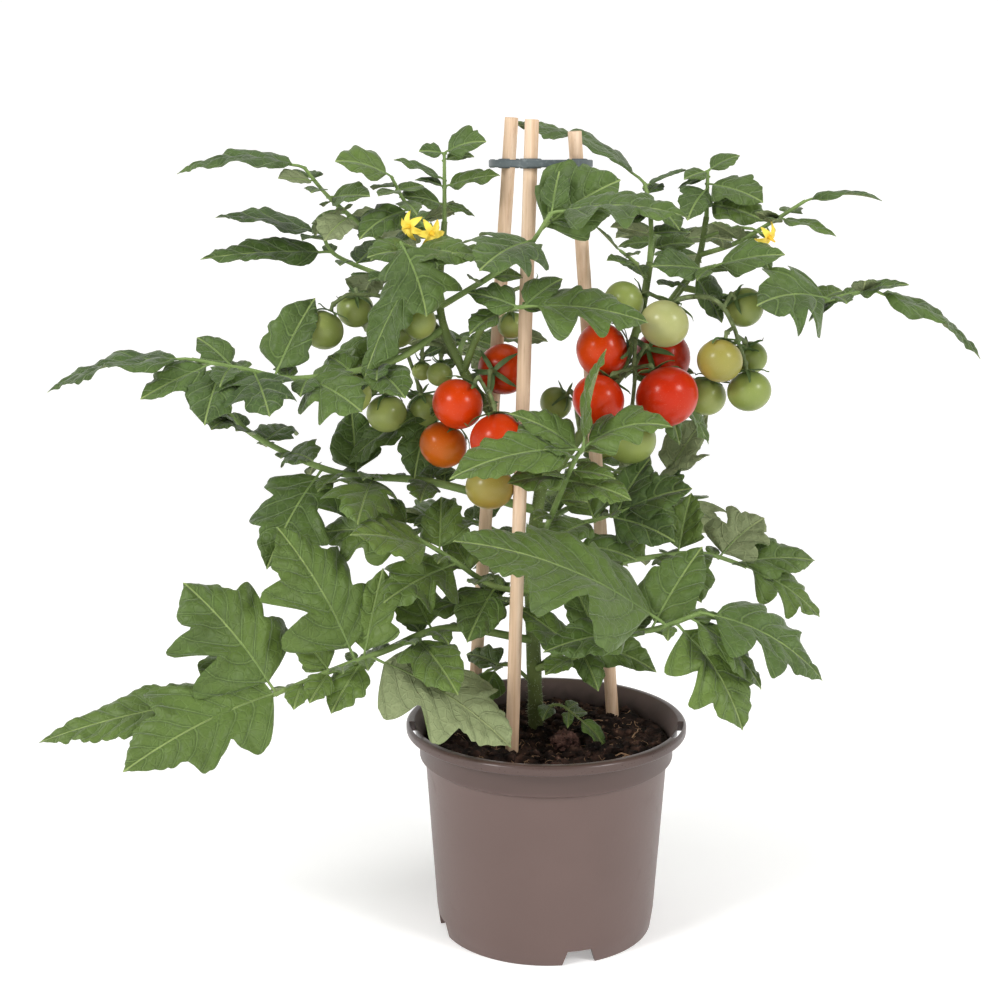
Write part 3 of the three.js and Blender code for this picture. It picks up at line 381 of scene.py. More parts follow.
def carve(piece, cutters):  # cuts holes in a piece with other shapes, which are used up
    for cutter in cutters:
        cut = piece.modifiers.new("cut", "BOOLEAN")
        cut.operation = "DIFFERENCE"
        cut.solver = "EXACT"
        cut.object = cutter
    held = bpy.context.evaluated_depsgraph_get()
    carved = bpy.data.meshes.new_from_object(piece.evaluated_get(held))
    piece.modifiers.clear()
    piece.data = carved
    for cutter in cutters:
        bpy.data.objects.remove(cutter)


soilShape = {
    "outline": [(0.01, 2.3), (22, 2.3), (24.5, 12.4), (62.8, 12.4), (70.3, 104), (73.6, 108.8), (73.6, 118)],
    "top": 119,
    "rings": 44,
    "steps": 132,
    "uneven": 117.9,  # everything above this height follows soilSurface
    "edge": (70, 0.3),  # the radius beyond which it falls to the wall, and how steeply
    "crumbs": {"count": 1500, "within": 72, "size": (0.5, 3.4)},
    "clods": [  # (x, y, size, whether it is a paler lump of peat)
        (11, -13, 10, 1), (27, -22, 4, 0), (38, -30, 4.5, 0),
        (34, 2, 4, 1), (50, -8, 4.5, 0), (-2, -36, 4, 0),
    ],
    "straws": [  # (x, y, length, bearing)
        (40, -46, 18, 0.25), (46, -40, 13, 2.35), (22, -54, 12, -0.05),
        (56, 4, 14, 0.95), (30, 22, 12, -0.65),
    ],
    "straw": {"girth": 0.45, "sides": 6, "bend": 0.5, "lift": 1.1},
    "fibres": {"count": 110, "within": 68, "length": (3, 9)},
    "fibre": {"girth": 0.16, "sides": 4, "bend": 1.6, "lift": 0.5},
    "seed": 3,
}
fibrePart, peatPart = 1, 2

soilFinish = Finish("darkCompost", {"Roughness": 0.95, "Specular IOR Level": 0.2})
lumps = soilFinish.noise(120, 6)
bits = soilFinish.fade(soilFinish.noise(260, 2), 0.66, 0.74)
earth = soilFinish.ramp(lumps, [
    (0.34, linear(16, 10, 8)), (0.5, linear(38, 26, 21)),
    (0.63, linear(66, 46, 38)), (0.8, linear(112, 84, 72)),
])
soilFinish.feed("Base Color", soilFinish.blend(bits * 0.55, earth, linear(138, 108, 88)))
soilFinish.relief(lumps + soilFinish.cells(420, "F1") * 0.5, 0.0016, 0.9)

peatFinish = Finish("palePeat", {"Roughness": 0.95, "Specular IOR Level": 0.2})
flecks = peatFinish.noise(190, 7)
peatFinish.feed("Base Color", peatFinish.ramp(flecks, [
    (0.35, linear(52, 34, 30)), (0.5, linear(88, 62, 55)), (0.68, linear(128, 98, 88)),
]))
peatFinish.relief(flecks + peatFinish.noise(60, 3), 0.002, 1)

fibreFinish = Finish("peatFibre", {"Roughness": 0.9})
fibreFinish.mottled(300, linear(96, 68, 50), linear(190, 152, 118))


def soilSurface(x, y):  # its height, all in mm
    broad = 1.5 * math.sin(0.09 * x + 1) * math.cos(0.1 * y)
    rough = 1.1 * math.sin(0.31 * x - 0.22 * y) * math.cos(0.27 * y + 0.12 * x + 2)
    fine = noise.fractal(Vector((x, y, 4)) * 0.16, 0.8, 2.1, 4) + 0.6 * noise.noise(Vector((x, y, 9)) * 0.07)
    return soilShape["top"] - 0.8 + broad + rough + 2.6 * fine


def scatter(within, chance):  # a random place on the compost
    reach = within * math.sqrt(chance.random())
    bearing = chance.uniform(0, math.tau)
    return reach * math.cos(bearing), reach * math.sin(bearing)


def addClod(bm, x, y, size, chance, part=0):
    fineness = 1 if size < 1.4 else 2 if size < 4 else 4
    lump = bmesh.ops.create_icosphere(bm, subdivisions=fineness, radius=size * mm)["verts"]
    drift = Vector((chance.uniform(0, 90), chance.uniform(0, 90), 0))
    for vert in lump:
        spot = vert.co / mm
        vert.co *= 1 + 0.42 * noise.noise(spot * 0.8 + drift) + 0.3 * noise.noise(spot * 0.25 + drift)
    squat = Matrix.Diagonal((1, chance.uniform(0.7, 1), chance.uniform(0.5, 0.85), 1))
    spot = Vector((x, y, soilSurface(x, y) + 0.15 * size)) * mm
    place = Matrix.Translation(spot) @ Matrix.Rotation(chance.uniform(0, 6), 4, "Z") @ squat
    bmesh.ops.transform(bm, matrix=place, verts=lump)
    paint(facesOf(lump), part)


def addFibre(bm, x, y, length, bearing, plan):  # one that lies bent on the compost
    path = []
    for step in range(5):
        share = step / 4
        angle = bearing + plan["bend"] * share
        px = x + length * (share - 0.5) * math.cos(angle)
        py = y + length * (share - 0.5) * math.sin(angle)
        path.append(Vector((px, py, soilSurface(px, py) + plan["lift"])) * mm)
    addTube(bm, path, lambda share: plan["girth"] * mm, plan["sides"], fibrePart)


def makeSoil():
    chance = random.Random(soilShape["seed"])
    rim, rings = soilShape["outline"][-1][0], soilShape["rings"]
    top = [(rim * (1 - (i + 1) / rings) + 0.01, soilShape["top"]) for i in range(rings)]
    bm = turnedBody(soilShape["outline"] + top, soilShape["steps"])
    edge, fall = soilShape["edge"]
    for vert in bm.verts:
        if vert.co.z > soilShape["uneven"] * mm:
            x, y = vert.co.x / mm, vert.co.y / mm
            vert.co.z = (soilSurface(x, y) - fall * max(0, math.hypot(x, y) - edge)) * mm
    crumbs = soilShape["crumbs"]
    least, more = crumbs["size"]
    for _ in range(crumbs["count"]):
        x, y = scatter(crumbs["within"], chance)
        addClod(bm, x, y, least + more * chance.random() ** 6, chance)
    for x, y, size, pale in soilShape["clods"]:
        addClod(bm, x, y, size, chance, peatPart if pale else 0)
    for straw in soilShape["straws"]:
        addFibre(bm, *straw, soilShape["straw"])
    fibres = soilShape["fibres"]
    for _ in range(fibres["count"]):
        x, y = scatter(fibres["within"], chance)
        length = chance.uniform(*fibres["length"])
        addFibre(bm, x, y, length, chance.uniform(0, math.tau), soilShape["fibre"])
    soil = makePiece(bm, "compost", [soilFinish, fibreFinish, peatFinish], "soil", 50)
    print("compost:", len(soil.data.polygons), "faces")


stickShape = {"radius": 3.94, "bottom": 70, "sides": 28, "chamfer": 0.35, "cuts": 60, "wear": (0.13, 0.05)}
stickPlan = {
    "front": {"soil": (-21, -26, 119), "ring": (-11, -22, 461), "top": 485},
    "right": {"soil": (43, 37, 119), "ring": (16, 6, 461), "top": 479},
    "left": {"soil": (-45, 36, 119), "ring": (-23, 16, 461), "top": 487},
}

stickFinish = Finish("paleWood", {"IOR": 1.5})
fibres = stickFinish.grain(5, 1500, 1500, 16)
bands = stickFinish.grain(3, 420, 420, 7)
pores = stickFinish.fade(stickFinish.grain(3, 2600, 2600, 60), 0.6, 0.72)
stain = stickFinish.fade(stickFinish.grain(4, 150, 150, 40), 0.56, 0.75)
wood = stickFinish.ramp(bands, [
    (0.3, linear(206, 176, 146)), (0.5, linear(225, 198, 170)), (0.72, linear(240, 218, 194)),
])
wood = stickFinish.blend(fibres * 0.5, wood, linear(194, 158, 120))
wood = stickFinish.blend(pores * 0.4, wood, linear(150, 114, 80))
damp = stickFinish.fade(stickFinish.height(), 0.2, 0.12) * (0.35 + stain * 0.5)
stickFinish.feed("Base Color", stickFinish.blend(damp, wood, linear(150, 104, 64)))
stickFinish.feed("Roughness", 0.55 + fibres * 0.3)
stickFinish.relief(fibres - pores * 0.6, 0.0002, 0.6)


def stickPoint(plan, z):
    soil, ring = Vector(plan["soil"]), Vector(plan["ring"])
    return soil.lerp(ring, (z - soil.z) / (ring.z - soil.z)) * mm


def makeSticks():
    radius = stickShape["radius"] * mm
    broad, fine = stickShape["wear"]
    for side, plan in stickPlan.items():
        bottom, top = stickPoint(plan, stickShape["bottom"]), stickPoint(plan, plan["top"])
        length = (top - bottom).length
        bm = bmesh.new()
        bmesh.ops.create_cone(bm, cap_ends=True, segments=stickShape["sides"], radius1=radius, radius2=radius,
                              depth=length)
        ends = [e for e in bm.edges if abs(e.verts[0].co.z - e.verts[1].co.z) < length / 2]
        soften(bm, ends, stickShape["chamfer"])
        walls = [e for e in bm.edges if abs(e.verts[0].co.z - e.verts[1].co.z) > length / 2]
        bmesh.ops.subdivide_edges(bm, edges=walls, cuts=stickShape["cuts"], use_grid_fill=True)
        drift = Vector((0, 0, 40 * (1 + len(side))))
        for vert in bm.verts:
            outward = Vector((vert.co.x, vert.co.y, 0)).normalized()
            wear = broad * noise.noise(vert.co * 90 + drift) + fine * noise.noise(vert.co * 700 + drift)
            vert.co += outward * wear * mm
        bmesh.ops.transform(bm, matrix=facing((bottom + top) / 2, top - bottom), verts=bm.verts)
        makePiece(bm, f"wood_stick_{side}", [stickFinish], f"stick_{side}", 45)
    print("sticks:", len(stickPlan))


ringShape = {
    "centre": (-4.8, 0), "z": 461, "height": 5.5, "soft": 0.5,  # how far its edges are cut back
    "band": {"radii": (27.2, 29.7), "lower": 0.6, "steps": 96},
    "grip": {"radii": (4.25, 6.2), "sweep": 4.8, "steps": 36},
    "rib": {"reach": 28.4, "size": (2.6, 3, 4.9), "edge": 0.4, "bearings": (-1.9, 0.55, 2.9)},
}

ringFinish = Finish("slatePlastic", {"IOR": 1.48})
scuffs = ringFinish.fade(ringFinish.noise(500, 4), 0.5, 0.75)
ringFinish.feed("Base Color", ringFinish.blend(scuffs * 0.5, linear(78, 88, 90), linear(122, 132, 134)))
ringFinish.feed("Roughness", 0.34 + scuffs * 0.25)
ringFinish.relief(ringFinish.noise(700, 3), 0.0001, 0.4)


def makeRing():
    cx, cy = ringShape["centre"]
    half = ringShape["height"] / 2
    band, grip, rib = ringShape["band"], ringShape["grip"], ringShape["rib"]
    bm = bmesh.new()
    addBand(bm, (cx, cy), band, half - band["lower"], 0, math.tau)
    for stick in stickPlan.values():  # a C-shaped grip round each stick, open to the middle of the ring
        spot = stickPoint(stick, ringShape["z"]) / mm
        away = math.atan2(spot.y - cy, spot.x - cx)
        addBand(bm, (spot.x, spot.y), grip, half, away - grip["sweep"] / 2, grip["sweep"])
    for bearing in rib["bearings"]:  # they stiffen the band
        x, y = cx + rib["reach"] * math.cos(bearing), cy + rib["reach"] * math.sin(bearing)
        place = Matrix.Translation(Vector((x, y, ringShape["z"])) * mm) @ Matrix.Rotation(bearing, 4, "Z")
        size = Matrix.Diagonal((*(Vector(rib["size"]) * mm), 1))
        block = bmesh.ops.create_cube(bm, size=1, matrix=place @ size)["verts"]
        soften(bm, list({e for v in block for e in v.link_edges}), rib["edge"])
    makePiece(bm, "stick_ring", [ringFinish], "stick_clip", 40)
    print("ring: one band,", len(stickPlan), "grips")


def addBand(bm, centre, plan, half, start, sweep):  # its section is turned round the origin and then moved
    (inner, outer), soft = plan["radii"], ringShape["soft"]
    low, high = ringShape["z"] - half, ringShape["z"] + half
    known = len(bm.verts)
    corners = [(inner, low + soft), (inner + soft, low), (outer - soft, low), (outer, low + soft),
               (outer, high - soft), (outer - soft, high), (inner + soft, high), (inner, high - soft)]
    turn = Matrix.Rotation(start, 4, "Z")
    verts = [bm.verts.new(turn @ Vector((radius * mm, 0, z * mm))) for radius, z in corners]
    edges = [bm.edges.new(pair) for pair in zip(verts, verts[1:] + verts[:1])]
    made = spin(bm, edges, plan["steps"], sweep)
    if sweep < math.tau:  # the two ends are closed
        for end in (edges, [g for g in made["geom_last"] if isinstance(g, bmesh.types.BMEdge)]):
            bmesh.ops.contextual_create(bm, geom=end)
    bm.verts.ensure_lookup_table()
    added = bm.verts[known:]
    bmesh.ops.recalc_face_normals(bm, faces=facesOf(added))
    bmesh.ops.translate(bm, verts=added, vec=Vector((*centre, 0)) * mm)


stemShape = {
    "every": 5,
    "sides": 14,
    "lumps": 0.1,
    "hairs": {"count": 1300, "per": 600, "length": 2.8, "radius": 0.09},  # count is for so many mm of stem
    "density": (2, 0.7),  # of the hairs, on the main stem and on the shoots
    "seed": 5,
}
stemPlan = {  # the main stem and its shoots: the points of each one's line, and its first and last radius
    "main": ([(-6, 20, 96), (-6, 15, 128), (-8, 2, 179), (-9, 2, 228), (-4, 4, 271)], (5, 3.8)),
    "left": ([(-4, 4, 271), (-21, -2, 302), (-38, -6, 325), (-49, -8, 343)], (3.4, 2.9)),
    "leftTip": ([(-49, -8, 343), (-59, -6, 364), (-63, -4, 384), (-62, 0, 405), (-60, 5, 428)], (2.7, 1.8)),
    "leftBranch": ([(-49, -8, 343), (-42, -14, 362), (-36, -18, 373)], (2.3, 1.9)),
    "right": ([(-4, 4, 271), (17, 4, 300), (36, 6, 328), (47, 10, 350), (55, 14, 375), (60, 18, 404)],
              (3.4, 2.2)),
    "rightBranch": ([(52, 12, 364), (74, 22, 382), (89, 28, 404), (94, 30, 430)], (2.3, 1.7)),
}


def stalkFinish(name, dark, middle, light, ridge, foot):
    finish = Finish(name, {"Specular IOR Level": 0.35})
    ridges = finish.grain(3, 900, 900, 60)
    green = finish.ramp(finish.noise(70, 4), [(0.3, dark), (0.55, middle), (0.78, light)])
    green = finish.blend(ridges * 0.35, green, ridge)
    finish.feed("Base Color", finish.blend(finish.fade(finish.height(), 0.2, 0.12) * 0.6, green, foot))
    finish.feed("Roughness", 0.5 + ridges * 0.2)
    finish.relief(ridges + finish.noise(600, 2) * 0.4, 0.0003, 0.6)
    return finish


stemFinish = stalkFinish("greenStem", linear(70, 88, 38), linear(92, 112, 52), linear(118, 138, 74),
                         linear(134, 150, 92), linear(72, 74, 38))
leafStalkFinish = stalkFinish("leafStalk", linear(88, 112, 54), linear(112, 138, 72), linear(138, 158, 92),
                              linear(150, 168, 108), linear(112, 118, 64))

hairFinish = Finish("fineHairs", {"Roughness": 0.6})
hairFinish.mottled(200, linear(176, 190, 150), linear(206, 214, 184))


def makeStem():
    chance = random.Random(stemShape["seed"])
    bm = leafMesh()
    hairs = stemShape["hairs"]
    for number, (line, (first, last)) in enumerate(stemPlan.values()):
        path = spread(lineThrough(line), stemShape["every"])
        girthAt = swelling(path, first, last, stemShape["lumps"] * first, number * 7)
        addTube(bm, path, girthAt, stemShape["sides"], stemPart)
        density = stemShape["density"][number > 0]
        count = round(hairs["count"] * (lengthOf(path) / mm) / hairs["per"] * density)
        addHairs(bm, path, girthAt, count, hairs, chance)
    for number, shoot in enumerate(shootPlan):
        addLeaf(bm, shoot, 300 + 8 * number, 0.35, chance)
    makePiece(bm, "main_stem", leafFinishes + [stemFinish], "stem")
    print("stem:", len(stemPlan), "shoots,", len(shootPlan), "side shoots")


bladeShape = {
    "outlines": {  # (place on the midrib, half width as a share of the length, lift of the edge in degrees)
        "cut": [(0.22, 0.31, -2), (0.36, 0.18, 18), (0.5, 0.26, 0), (0.62, 0.14, 14), (0.73, 0.135, 4)],
        "toothed": [(0.24, 0.26, 4), (0.44, 0.21, 16), (0.65, 0.16, 4)],
        "plain": [(0.28, 0.25, 8), (0.6, 0.18, 12)],
    },
    "row": 1.7,  # mm between the rows of faces along a blade
    "columns": 16,
    "stalkHalf": 1.1,
    "stalkEnd": 0.1,
    "stalkIn": 1.6,  # how far a leaflet's stalk goes into the leaf's
    "ribEnd": 0.86,
    "rib": (0.95, 0.22),
    "sink": (0.2, 0.95),  # how far the rib lies under the surface, along the stalk and under the blade
    "margin": (0.16, 0.95),  # where the edge has teeth
    "teethEvery": 8,
    "tooth": 0.012,
    "lobeCount": 3.4,
    "lobes": (0.3, 0.12),  # how deep the low lobes of an uncut leaflet are on its two sides
    "cuts": (1.5, 1.05),  # how deep the bays are on the two sides of a leaflet
    "belly": (0.12, 0.24),  # how much wider the middle is, and where that starts
    "sweep": 0.45,  # how far the edge runs ahead of the midrib, for its half width
    "roll": 12,
    "skew": 0.12,
    "thickness": 0.34,
    "quilt": 1.5,
    "groove": (0.7, 1.5),  # depth and half width of the channel over the midrib
    "wave": 1.7,
    "grown": 45,  # a leaflet shorter than this is less quilted and wavy
    "sway": 0.042,
    "droop": 0.16,
    "veinEvery": 12,
    "stalk": {"every": 4, "lumps": 0.15, "sides": 10},
    "hairs": {"count": 170, "length": 1.5, "radius": 0.06},
    "between": {"every": 16, "length": (14, 29), "spread": 1.2, "lean": 26},  # the small leaflets on a stalk
    "lowLeaf": 240,  # a leaf that starts below this height is brighter
    "brightness": (0.45, 0.18),
    "turnedOver": (8, 49, 52, 105, 116, 117, 118, 119),  # leaflets that show their underside
}

down = {"Sheen Weight": 0.22, "Sheen Roughness": 0.45}
leafTop = Finish("leafTop", {"IOR": 1.45, "Specular IOR Level": 0.42, **down})
leafUnder = Finish("leafUnderside", {"IOR": 1.4, "Specular IOR Level": 0.25})


def paintLeaf(finish, look):
    across = finish.attribute("across")
    toVein = finish.add("ShaderNodeMath", {"operation": "PINGPONG"}, [finish.attribute("vein"), 0.5])
    lateral = finish.fade(toVein + across * 0.0006, 0.07, 0.025)
    midrib = finish.fade(across, 0.75, 0.3)
    net = finish.fade(finish.cells(170, "DISTANCE_TO_EDGE"), 0.09, 0.02)
    web = finish.fade(finish.cells(430, "DISTANCE_TO_EDGE"), 0.14, 0.03)
    patches = finish.noise(46, 5)
    fine = finish.noise(700, 3)
    bright = finish.attribute("tone") * 0.8 + finish.fade(finish.noise(13, 3), 0.4, 0.68) * 0.3
    colour = finish.blend(finish.fade(patches, 0.38, 0.62), look["deep"], look["mid"])
    # the dark band beside each vein is painted shade in the grooves between the quilted pillows
    for amount, shade in (
        (bright, "light"), (fine * 0.22, "deep"), (finish.fade(toVein, 0.2, 0.04) * look["veinGrooveShade"], "deep"),
        (web * look["web"], "vein"), (net * look["net"], "vein"), (lateral * look["lateral"], "vein"),
        (midrib * 0.9, "rib"),
    ):
        colour = finish.blend(amount, colour, look[shade])
    finish.feed("Base Color", colour)
    finish.feed("Roughness", look["rough"] + fine * 0.16)
    veins = finish.add("ShaderNodeMath", {"operation": "MAXIMUM"}, [lateral, midrib])
    pillow = finish.cells(300, "SMOOTH_F1")
    height = (veins + net * 0.35) * look["ridge"] - pillow * 0.6 + fine * 0.2 + patches * 0.5
    finish.relief(height, 0.0012, look["strength"])


paintLeaf(leafTop, {
    "deep": linear(38, 60, 20), "mid": linear(60, 86, 32), "light": linear(98, 121, 46),
    "vein": linear(112, 136, 70), "rib": linear(144, 164, 94), "net": 0.14, "web": 0.07,
    "lateral": 0.6, "rough": 0.41, "ridge": -0.8, "strength": 0.7, "veinGrooveShade": 0.3,
})
paintLeaf(leafUnder, {
    "deep": linear(104, 116, 80), "mid": linear(120, 130, 94), "light": linear(138, 148, 106),
    "vein": linear(146, 156, 114), "rib": linear(160, 170, 120), "net": 0.35, "web": 0.2,
    "lateral": 0.75, "rough": 0.62, "ridge": 0.9, "strength": 0.8, "veinGrooveShade": 0.2,
})

leafFinishes = [leafTop, leafUnder, leafStalkFinish, hairFinish]
underPart, stalkPart, hairPart, stemPart = 1, 2, 3, 4  # places in that list, and the stem's own after it

# A leaf is the line of its stalk, the stalk's first and last radius, and its leaflets. A leaflet is
# (place on the stalk, heading, rise, length, fall, spread, lean, and its outline where that isn't "toothed"),
# in mm and degrees.
shootPlan = [  # short side shoots of the stem, given as leaves
    ([(-5, 14, 130), (8, 5, 137), (20, -3, 131)], (1.1, 0.6),
     [(1, -25, -25, 26, 40, 0.9, 30), (0.7, 60, 10, 15, 20, 1, 30, "plain"),
      (0.75, -95, -15, 15, 20, 1, 30, "plain")]),
    ([(-7, 11, 148), (-22, 6, 162), (-36, 0, 160)], (1.3, 0.8),
     [(1, 195, -35, 46, 30, 1.1, 30), (0.78, 235, -35, 36, 25, 1.1, 30), (0.7, 130, 10, 34, 20, 1.1, 30)]),
    ([(-6, 7, 160), (10, 2, 173), (26, -2, 177)], (1.3, 0.8),
     [(1, -10, -5, 44, 30, 1.1, 30), (0.78, -65, -25, 34, 25, 1.1, 30), (0.7, 60, 25, 34, 20, 1.1, 30)]),
    ([(-8, 3, 192), (-21, -6, 206), (-34, -12, 208)], (1.3, 0.8),
     [(1, 190, 5, 40, 30, 1.1, 30), (0.78, 245, -20, 32, 25, 1.1, 30), (0.7, 120, 25, 30, 20, 1.1, 30)]),
    ([(-9, 2, 224), (3, -9, 238), (16, -15, 241)], (1.3, 0.8),
     [(1, -12, 5, 38, 30, 1.1, 30), (0.75, -75, -15, 30, 25, 1.1, 30),
      (0.7, 60, 25, 26, 20, 1.1, 30, "plain")]),
    ([(-8, 3, 206), (-3, 22, 222), (4, 38, 224)], (1.3, 0.8),
     [(1, 70, 5, 44, 30, 1.1, -20), (0.78, 15, 0, 34, 25, 1.1, -20), (0.7, 135, 5, 36, 20, 1.1, -20)]),
    ([(-62, -3, 374), (-82, 20, 371), (-104, 30, 360)], (1.4, 0.9),
     [(1, 175, -25, 54, 30, 1.1, 30, "cut"), (0.78, 235, -50, 50, 25, 1.1, 30),
      (0.7, 120, 0, 42, 20, 1.1, -20)]),
    ([(-32, -4, 318), (-54, 14, 323), (-80, 22, 312)], (1.4, 0.9),
     [(1, 188, -20, 50, 30, 1.1, 30), (0.78, 240, -50, 46, 25, 1.1, 30), (0.7, 115, 10, 42, 20, 1.1, -20)]),
    ([(41, 7, 338), (57, 28, 340), (70, 42, 330)], (1.4, 0.9),
     [(1, 15, -35, 52, 30, 1.1, 30), (0.78, -40, -50, 46, 25, 1.1, 30), (0.7, 85, 0, 42, 20, 1.1, -20)]),
    ([(5, 4, 283), (24, 20, 286), (44, 28, 277)], (1.4, 0.9),
     [(1, 5, -30, 54, 30, 1.1, 30, "cut"), (0.78, -50, -45, 46, 25, 1.1, 30),
      (0.7, 75, 10, 42, 20, 1.1, -20)]),
]
